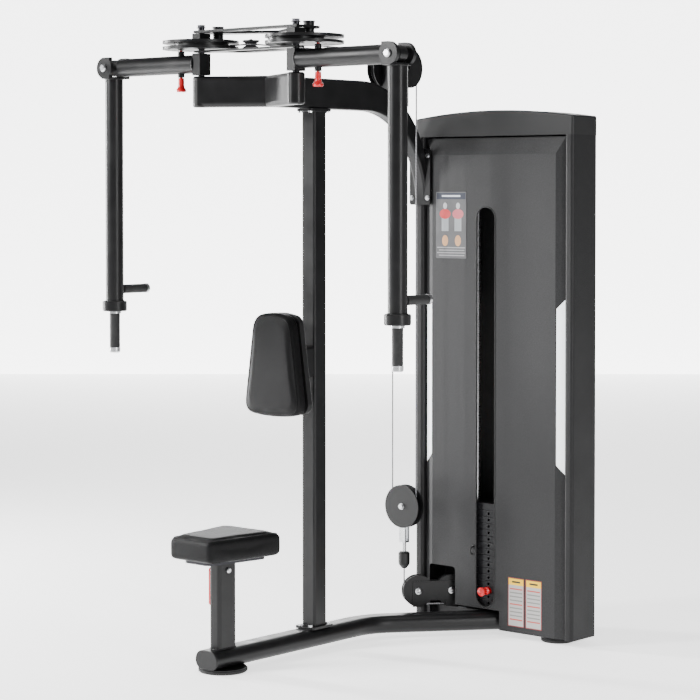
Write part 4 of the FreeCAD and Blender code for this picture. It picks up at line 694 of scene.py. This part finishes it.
class PECDECK_OT_seat_cushion(bpy.types.Operator):
    """Fill the seat's vinyl cover and sew its welt"""

    bl_idname = "pecdeck.seat_cushion"
    bl_label = "Seat cushion"

    def execute(self, context):
        sizes = context.scene.pecdeck_upholstery
        low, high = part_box("seat_cushion")
        swell = sizes.seat_swell * 0.45
        inset = 0.002 + swell * 0.6
        half_back = high.x + 0.006 - inset
        half_front = half_back * sizes.seat_taper
        corners = [(-half_front, low.y + inset), (half_front, low.y + inset),
                   (half_back, high.y - inset), (-half_back, high.y - inset)]
        thick = high.z - low.z - 0.0008 - swell * 0.5
        outline = rounded_outline(corners, 0.016, 220)
        surface = cushion_surface("seat_cover", outline, thick, low.z + 0.0008 + thick / 2, flat=6.5, side=9.0)
        cover = skin("seat_cover", surface)
        remeshed(cover, sizes.cell)
        floor = low.z + 0.004
        fill_cover(cover, sizes, sizes.seat_swell, lambda spots: spots[:, 2] < floor)
        smooth_twice(cover)
        loop = rounded_outline(np.array(corners) * [0.965, 1], 0.015, 260)
        middle = loop.mean(axis=0)
        loop = middle + (loop - middle) * 0.972
        path = np.column_stack([loop, np.full(len(loop), high.z)])
        seam = welt("seat_welt", path, cover, sizes.piping, (0, 0, 1))
        vinyl = FINISHES["vinyl"]
        finish_piece(cover, "seat_carriage", vinyl, ["seat_cushion"])
        finish_piece(seam, "seat_carriage", vinyl)
        return {"FINISHED"}


class PECDECK_OT_back_pad(bpy.types.Operator):
    """Fill the back pad's vinyl cover and sew its welt"""

    bl_idname = "pecdeck.back_pad"
    bl_label = "Back pad"

    def execute(self, context):
        sizes = context.scene.pecdeck_upholstery
        low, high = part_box("back_pad_cushion")
        swell = sizes.pad_swell * 0.45
        inset = 0.002 + swell * 0.6
        half_low = high.x - inset
        half_top = half_low * sizes.pad_taper
        bottom, top = low.z + inset, high.z - inset
        rise = 0.012
        across = np.linspace(-1, 1, 9)[:, None]
        low_edge = np.hstack([across * half_low, bottom + rise * across ** 2])
        top_edge = np.hstack([-across * half_top, top - rise * across ** 2])
        corner_path = np.vstack([low_edge, top_edge])
        outline = soft_corners(corner_path, 260)
        thick = high.y - low.y - 0.0008 - swell * 0.5
        surface = cushion_surface("back_cover", outline, thick, 0.0, flat=6.0, side=8.5)
        centre_y = high.y - 0.0008 - thick / 2
        upright = np.dstack([surface[:, :, 0], centre_y - surface[:, :, 2], surface[:, :, 1]])
        cover = skin("back_cover", upright)
        remeshed(cover, sizes.cell)
        back = high.y - 0.004
        fill_cover(cover, sizes, sizes.pad_swell, lambda spots: spots[:, 1] > back)
        smooth_twice(cover)
        middle = outline.mean(axis=0)
        loop = middle + (outline - middle) * 0.955
        path = np.column_stack([loop[:, 0], np.full(len(loop), low.y), loop[:, 1]])
        seam = welt("back_welt", path, cover, sizes.piping, (0, 1, 0))
        vinyl = FINISHES["vinyl"]
        finish_piece(cover, "frame", vinyl, ["back_pad_cushion"])
        finish_piece(seam, "frame", vinyl)
        return {"FINISHED"}


def soft_corners(path, count, spread_points=15):
    """Even points along a closed path, with its corners rounded by averaging neighbours."""
    even = even_steps(np.vstack([path, path[:1]]), count)
    window = np.hanning(2 * spread_points + 3)[1:-1]
    window /= window.sum()
    shifts = np.arange(-spread_points, spread_points + 1)
    stacked = np.stack([np.roll(even, shift, axis=0) for shift in shifts])
    return (window[:, None, None] * stacked).sum(axis=0)


# ---------------------------------------------------------------- cables


class PECDECK_OT_cables(bpy.types.Operator):
    """Run the wire ropes as straight strands over the cable parts, at one fixed length"""

    bl_idname = "pecdeck.cables"
    bl_label = "Moving cables"

    def execute(self, context):
        sizes = context.scene.pecdeck_cables
        jacket = FINISHES["cable_jacket"]
        for node_name, mover in (("arm_strands", "floating_pulley"), ("lift_cable_front", "floating_pulley"),
                                 ("lift_cable_stack", "weight_carriage")):
            low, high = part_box(node_name)
            radius = sizes.radius
            middle_y = (low.y + high.y) / 2
            if node_name == "arm_strands":
                places = [low.x + radius, high.x - radius]
            else:
                places = [(low.x + high.x) / 2]
            count = max(8, int((high.z - low.z) / 0.0022))
            heights = np.linspace(low.z, high.z, count)
            ropes = []
            for x in places:
                path = np.column_stack([np.full(count, x), np.full(count, middle_y), heights])
                rings = tube_points(path, radius * 0.94, (0, 1, 0), 18, lobes=sizes.strands, lay=sizes.lay)
                ropes.append(skin(node_name, capped(rings)))
            rope = join(node_name + "_rope", ropes)
            finish_piece(rope, None, jacket, [node_name])
            x = sum(places) / len(places)
            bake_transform(rope)
        return {"FINISHED"}


# ---------------------------------------------------------------- metalwork


def bead_round(name, centre, radius, axis, sizes):
    """A weld bead round a tube: a rippled ring whose path is a circle square to axis."""
    circle = turned_points([(radius, 0.0)], centre, axis, 160)[0]
    pitch = 2 * np.pi * radius / round(2 * np.pi * radius / sizes.ripple)
    rings = tube_points(circle, sizes.bead, axis, 10, closed=True, ripple=sizes.bead * 0.12, ripple_pitch=pitch)
    return skin(name, rings, close_along=True)


def bead_square(name, centre, width, depth, corner, sizes):
    """A weld bead round a rectangular tube that stands on its plate."""
    half_x, half_y = width / 2, depth / 2
    corners = [(-half_x, -half_y), (half_x, -half_y), (half_x, half_y), (-half_x, half_y)]
    loop = rounded_outline(corners, corner, 360)
    run = np.linalg.norm(loop - np.roll(loop, 1, axis=0), axis=1).sum()
    path = np.column_stack([loop + np.array(centre[:2]), np.full(len(loop), centre[2])])
    pitch = run / round(run / sizes.ripple)
    rings = tube_points(path, sizes.bead, (0, 0, 1), 10, closed=True, ripple=sizes.bead * 0.12,
                        ripple_pitch=pitch)
    return skin(name, rings, close_along=True)


class PECDECK_OT_welds(bpy.types.Operator):
    """Lay weld beads where the frame's and the arms' tubes meet their plates"""

    bl_idname = "pecdeck.welds"
    bl_label = "Weld beads"

    def execute(self, context):
        sizes = context.scene.pecdeck_metalwork
        paint = FINISHES["frame_paint"]
        low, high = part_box("main_upright")
        middle = ((low.x + high.x) / 2, (low.y + high.y) / 2)
        width, depth = high.x - low.x, high.y - low.y
        beads = [bead_square("bead", (*middle, z), width, depth, 0.008, sizes) for z in (low.z, high.z)]
        low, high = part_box("seat_post")
        middle = ((low.x + high.x) / 2, (low.y + high.y) / 2)
        beads.append(bead_square("bead", (*middle, low.z), high.x - low.x, high.y - low.y, 0.012, sizes))
        finish_piece(join("frame_welds", beads), "frame", paint)
        for side, sign in (("left", -1), ("right", 1)):
            x, y, level = JOINTS[f"{side}_arm_swing"]["pos_m"]
            hub = JOINTS[f"{side}_start_position"]["pos_m"][0] + sign * HUB_HALF
            arm_low, arm_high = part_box(f"{side}_swing_arm")
            heights = (arm_low.z + RING_TALL, arm_high.z - EARS_TALL)
            beads = [bead_round("bead", (x, y, z), ARM_RADIUS, (0, 0, 1), sizes) for z in heights]
            finish_piece(join(f"{side}_arm_welds", beads), f"{side}_hanging_arm", paint)
            bead = bead_round(f"{side}_link_weld", (hub, y, level), ARM_RADIUS, (1, 0, 0), sizes)
            finish_piece(bead, f"{side}_arm_link", paint)
        return {"FINISHED"}


class PECDECK_OT_grips(bpy.types.Operator):
    """Pull ribbed rubber grips over the handles"""

    bl_idname = "pecdeck.grips"
    bl_label = "Rubber grips"

    def execute(self, context):
        sizes = context.scene.pecdeck_metalwork
        black = FINISHES["rubber"]
        for side in ("left", "right"):
            x, y, _ = JOINTS[f"{side}_arm_swing"]["pos_m"]
            low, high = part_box(f"{side}_grips")
            arm_low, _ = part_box(f"{side}_swing_arm")
            upright = ribbed_profile(HAND_RADIUS, arm_low.z - COLLAR_TALL - low.z, sizes.rib)
            hand = skin("hand_grip", turned_points(upright, (x, y, low.z), (0, 0, 1), 64))
            start = y + SIDE_START
            level = high.z - SIDE_RADIUS
            sleeve = ribbed_profile(SIDE_RADIUS, high.y - start, sizes.rib)
            side_hand = skin("side_grip", turned_points(sleeve, (x, start, level), (0, 1, 0), 64))
            grips = join(f"{side}_rubber_grips", [hand, side_hand])
            finish_piece(grips, f"{side}_hanging_arm", black, [f"{side}_grips"])
        return {"FINISHED"}


def ribbed_profile(radius, long, rib):
    """(radius, distance) along a grip: round shoulders, then rings 5 mm apart cut as a raised cosine."""
    along = np.linspace(0, long, 240)
    edge = np.minimum(along, long - along)
    shoulder = np.clip(edge / 0.003, 0, 1)
    ribs = rib * 0.5 * (1 - np.cos(2 * np.pi * along / 0.005)) * np.clip((edge - 0.008) / 0.004, 0, 1)
    reach = radius - 0.002 * (1 - shoulder) ** 2 - ribs
    body = np.column_stack([reach, along])
    return np.vstack([[0, 0], body, [0, long]])


def middle_of(name):
    low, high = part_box(name)
    return (low + high) / 2


def domed_bolt(centre, axis, radius):
    """A domed bolt head on a washer: the head's radius falls as the square root towards its top."""
    share = np.linspace(0, 1, 14)
    dome = np.column_stack([radius * np.sqrt(1 - share ** 2.4), radius * (0.25 + 0.5 * share)])
    washer = radius * np.array([(0, 0), (1.35, 0), (1.4, 0.08), (1.35, 0.2), (1, 0.22)])
    return skin("bolt", turned_points(np.vstack([washer, dome]), centre, axis, 40))


class PECDECK_OT_hardware(bpy.types.Operator):
    """Put domed bolts on the lower pulley bracket and the pin's stow hook beside the slot"""

    bl_idname = "pecdeck.hardware"
    bl_label = "Bolts and stow hook"

    def execute(self, context):
        sizes = context.scene.pecdeck_metalwork
        front, rear = (np.array(middle_of(name)) for name in ("lower_front_sheave", "lower_rear_sheave"))
        along = (rear - front) / np.linalg.norm(rear - front)
        across = np.array([along[1], -along[0], 0.0])
        bolts = [domed_bolt(middle + across * sizes.bolt_stand, across, sizes.bolt) for middle in (front, rear)]
        finish_piece(join("lower_pulley_bolts", bolts), "frame", FINISHES["steel"])

        panel_low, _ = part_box("front_panel")
        slot_x = middle_of("lift_cable_stack").x
        foot = np.array([slot_x - sizes.hook_aside, panel_low.y, sizes.hook_height])
        bend = np.linspace(0, np.pi, 18)
        hook = np.column_stack([np.full(18, foot[0]), foot[1] - 0.010 - 0.009 * np.sin(bend),
                                foot[2] - 0.012 + 0.012 * np.cos(bend)])
        root, tip = foot + [0, 0.001, 0], foot + [0, -0.004, -0.026]
        path = np.vstack([root, hook, tip])
        wire = skin("hook", capped(tube_points(path, 0.0026, (1, 0, 0), 14)))
        plate = skin("plate", turned_points([(0, 0), (0.009, 0), (0.009, 0.0012), (0.008, 0.0018), (0, 0.0018)],
                                            foot, (0, -1, 0), 36))
        finish_piece(join("pin_stow_hook", [wire, plate]), "frame", FINISHES["black_plastic"])
        return {"FINISHED"}


class PECDECK_OT_slot_trim(bpy.types.Operator):
    """Press a rubber edging round the selector slot"""

    bl_idname = "pecdeck.slot_trim"
    bl_label = "Slot edging"

    def execute(self, context):
        sizes = context.scene.pecdeck_metalwork
        panel_low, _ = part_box("front_panel")
        middle = middle_of("lift_cable_stack").x
        half = sizes.slot_width / 2
        bottom, top = sizes.slot_foot, sizes.slot_head
        corners = [(middle - half, bottom), (middle + half, bottom), (middle + half, top), (middle - half, top)]
        loop = rounded_outline(corners, half - 0.0005, 900)
        path = np.column_stack([loop[:, 0], np.full(len(loop), panel_low.y + 0.0006), loop[:, 1]])
        trim = skin("slot_edging", tube_points(path, sizes.trim, (0, 1, 0), 12, closed=True), close_along=True)
        finish_piece(trim, "frame", FINISHES["rubber"])
        return {"FINISHED"}


# ---------------------------------------------------------------- finishes and stage


FINISHES = {}


class PECDECK_OT_finishes(bpy.types.Operator):
    """Make every finish and give each part of the machine its own"""

    bl_idname = "pecdeck.finishes"
    bl_label = "Finishes"

    def execute(self, context):
        colours = context.scene.pecdeck_colours
        FINISHES.update({
            "frame_paint": powder_coat("Satin black powder coat", colours.frame_paint),
            "dark_steel": zinc_plate("Black oxide steel", colours.oxide, 0.36),
            "steel": zinc_plate("Bright zinc", colours.zinc),
            "vinyl": upholstery_vinyl("Dark vinyl", colours.vinyl),
            "shroud": textured_sheet("Tower texture coat", colours.shroud),
            # Painted shade: the columns get a darker copy of the tower's textured coat.
            "column": textured_sheet("Tower column texture coat with painted shade", colours.column),
            "cap_plastic": moulded_plastic("Tower cap plastic", colours.cap, 0.46),
            "black_plastic": moulded_plastic("Black plastic", colours.plastic, 0.4),
            "sheave_plastic": turned_nylon("Turned nylon", colours.nylon),
            "red_plastic": glossy_plastic("Red plastic", colours.red),
            "window": milky_sheet_painted_glow("Milky window strip with painted glow", colours.window),
            "rubber": rubber("Black rubber", colours.rubber),
            "cable_jacket": cable_jacket("Cable jacket", colours.jacket),
            "board": moulded_plastic("Back board", colours.board, 0.5),
            "sign": printed_signs("Printed plates"),
            "stack_paint": powder_coat("Stack paint", colours.stack, 0.4),
        })
        for name, part in NODES.items():
            part.data.materials.clear()
            part.data.materials.append(FINISHES[FINISH_OF[name]])
        return {"FINISHED"}


def flat_sheet(name, centre, size, tilt, turn=0.0):
    """A single rectangle about a centre, tilted about X and then turned about Z, in its own mesh."""
    across = np.array([[-0.5, 0.5], [-0.5, 0.5]]) * size[0]
    along = np.array([[-0.5, -0.5], [0.5, 0.5]]) * size[1]
    grid = np.stack([across, along * math.cos(tilt), along * math.sin(tilt)], axis=-1)
    x = grid[:, :, 0] * math.cos(turn) - grid[:, :, 1] * math.sin(turn)
    y = grid[:, :, 0] * math.sin(turn) + grid[:, :, 1] * math.cos(turn)
    placed = np.stack([x, y, grid[:, :, 2]], axis=-1) + np.array(centre)
    return skin(name, placed, close_around=False)


def area_light(name, place, target, size, power, shape="RECTANGLE"):
    lamp = bpy.data.lights.new(name, "AREA")
    lamp.shape = shape
    lamp.size, lamp.size_y = size
    lamp.energy = power
    holder = bpy.data.objects.new(name, lamp)
    holder.location = place
    holder.rotation_euler = (Vector(target) - Vector(place)).to_track_quat("-Z", "Y").to_euler()
    bpy.context.scene.collection.objects.link(holder)
    return holder


class PECDECK_OT_stage(bpy.types.Operator):
    """Set up the floor, the soft boxes and the camera"""

    bl_idname = "pecdeck.stage"
    bl_label = "Studio"

    def execute(self, context):
        settings = context.scene.pecdeck_stage
        scene = context.scene
        floor = flat_sheet("studio_floor", (0, 0, 0), (26, 26), 0)
        floor.data.materials.append(studio_floor("Studio floor", scene.pecdeck_colours.floor,
                                                 settings.floor_glow))
        turn = math.radians(settings.azimuth)
        behind = Vector((-math.sin(turn), math.cos(turn), 0)) * settings.backdrop_at
        backdrop = flat_sheet("studio_backdrop", behind, (12.6, 11), math.pi / 2, turn)
        backdrop.data.materials.append(studio_floor("Studio backdrop", scene.pecdeck_colours.floor,
                                                    settings.backdrop_glow))

        world = bpy.data.worlds.new("Studio")
        world.use_nodes = True
        world.node_tree.nodes["Background"].inputs["Color"].default_value = (1, 1, 1, 1)
        world.node_tree.nodes["Background"].inputs["Strength"].default_value = settings.ambient
        scene.world = world

        area_light("Key", (-2.6, -4.2, 3.4), (0, 0, 1.1), (0.9, 2.6), 360)
        area_light("Strip", (-3.8, -0.9, 1.5), (0, 0, 1.1), (0.35, 3.0), 330)
        area_light("Right strip", (4.6, -1.2, 1.9), (0.3, 0.3, 1.0), (0.35, 3.0), 110)
        area_light("Top", (0.2, 0.4, 5.2), (0, 0, 0.8), (4.0, 4.0), 110)

        camera = bpy.data.cameras.new("Camera")
        camera.lens = settings.lens
        camera.sensor_width = 36
        camera.shift_y = settings.rise
        camera.clip_end = 100
        holder = bpy.data.objects.new("Camera", camera)
        holder.location = (settings.camera_x, settings.camera_y, settings.camera_z)
        holder.rotation_euler = (math.radians(90 - settings.tilt), 0, math.radians(settings.azimuth))
        scene.collection.objects.link(holder)
        scene.camera = holder
        return {"FINISHED"}


class PECDECK_PT_panel(bpy.types.Panel):
    """Lists the machine's pieces and their settings"""

    bl_idname = "PECDECK_PT_panel"
    bl_label = "Pec deck machine"
    bl_space_type = "VIEW_3D"
    bl_region_type = "UI"
    bl_category = "Pec Deck"

    def draw(self, context):
        layout = self.layout
        for group in SETTINGS:
            box = layout.box()
            settings = getattr(context.scene, group)
            for name in settings.bl_rna.properties.keys():
                if name not in ("rna_type", "name"):
                    box.prop(settings, name)
        for operator in OPERATORS:
            layout.operator(operator.bl_idname)


SETTINGS = {
    "pecdeck_upholstery": UpholsterySizes,
    "pecdeck_cables": CableSizes,
    "pecdeck_metalwork": MetalworkSizes,
    "pecdeck_colours": FinishColours,
    "pecdeck_stage": StageSettings,
}
OPERATORS = (PECDECK_OT_finishes, PECDECK_OT_seat_cushion, PECDECK_OT_back_pad, PECDECK_OT_cables,
             PECDECK_OT_welds, PECDECK_OT_grips, PECDECK_OT_slot_trim, PECDECK_OT_hardware, PECDECK_OT_stage)


def register():
    for settings in SETTINGS.values():
        bpy.utils.register_class(settings)
    for name, settings in SETTINGS.items():
        setattr(bpy.types.Scene, name, PointerProperty(type=settings))
    for operator in OPERATORS:
        bpy.utils.register_class(operator)
    bpy.utils.register_class(PECDECK_PT_panel)


def unregister():
    bpy.utils.unregister_class(PECDECK_PT_panel)
    for operator in reversed(OPERATORS):
        bpy.utils.unregister_class(operator)
    for name, settings in SETTINGS.items():
        delattr(bpy.types.Scene, name)
        bpy.utils.unregister_class(settings)


def main():
    register()
    bpy.ops.pecdeck.finishes()
    bpy.ops.pecdeck.seat_cushion()
    bpy.ops.pecdeck.back_pad()
    bpy.ops.pecdeck.cables()
    bpy.ops.pecdeck.welds()
    bpy.ops.pecdeck.grips()
    bpy.ops.pecdeck.slot_trim()
    bpy.ops.pecdeck.hardware()
    bpy.ops.pecdeck.stage()
    bpy.context.view_layer.update()


if __name__ == "__main__":
    main()
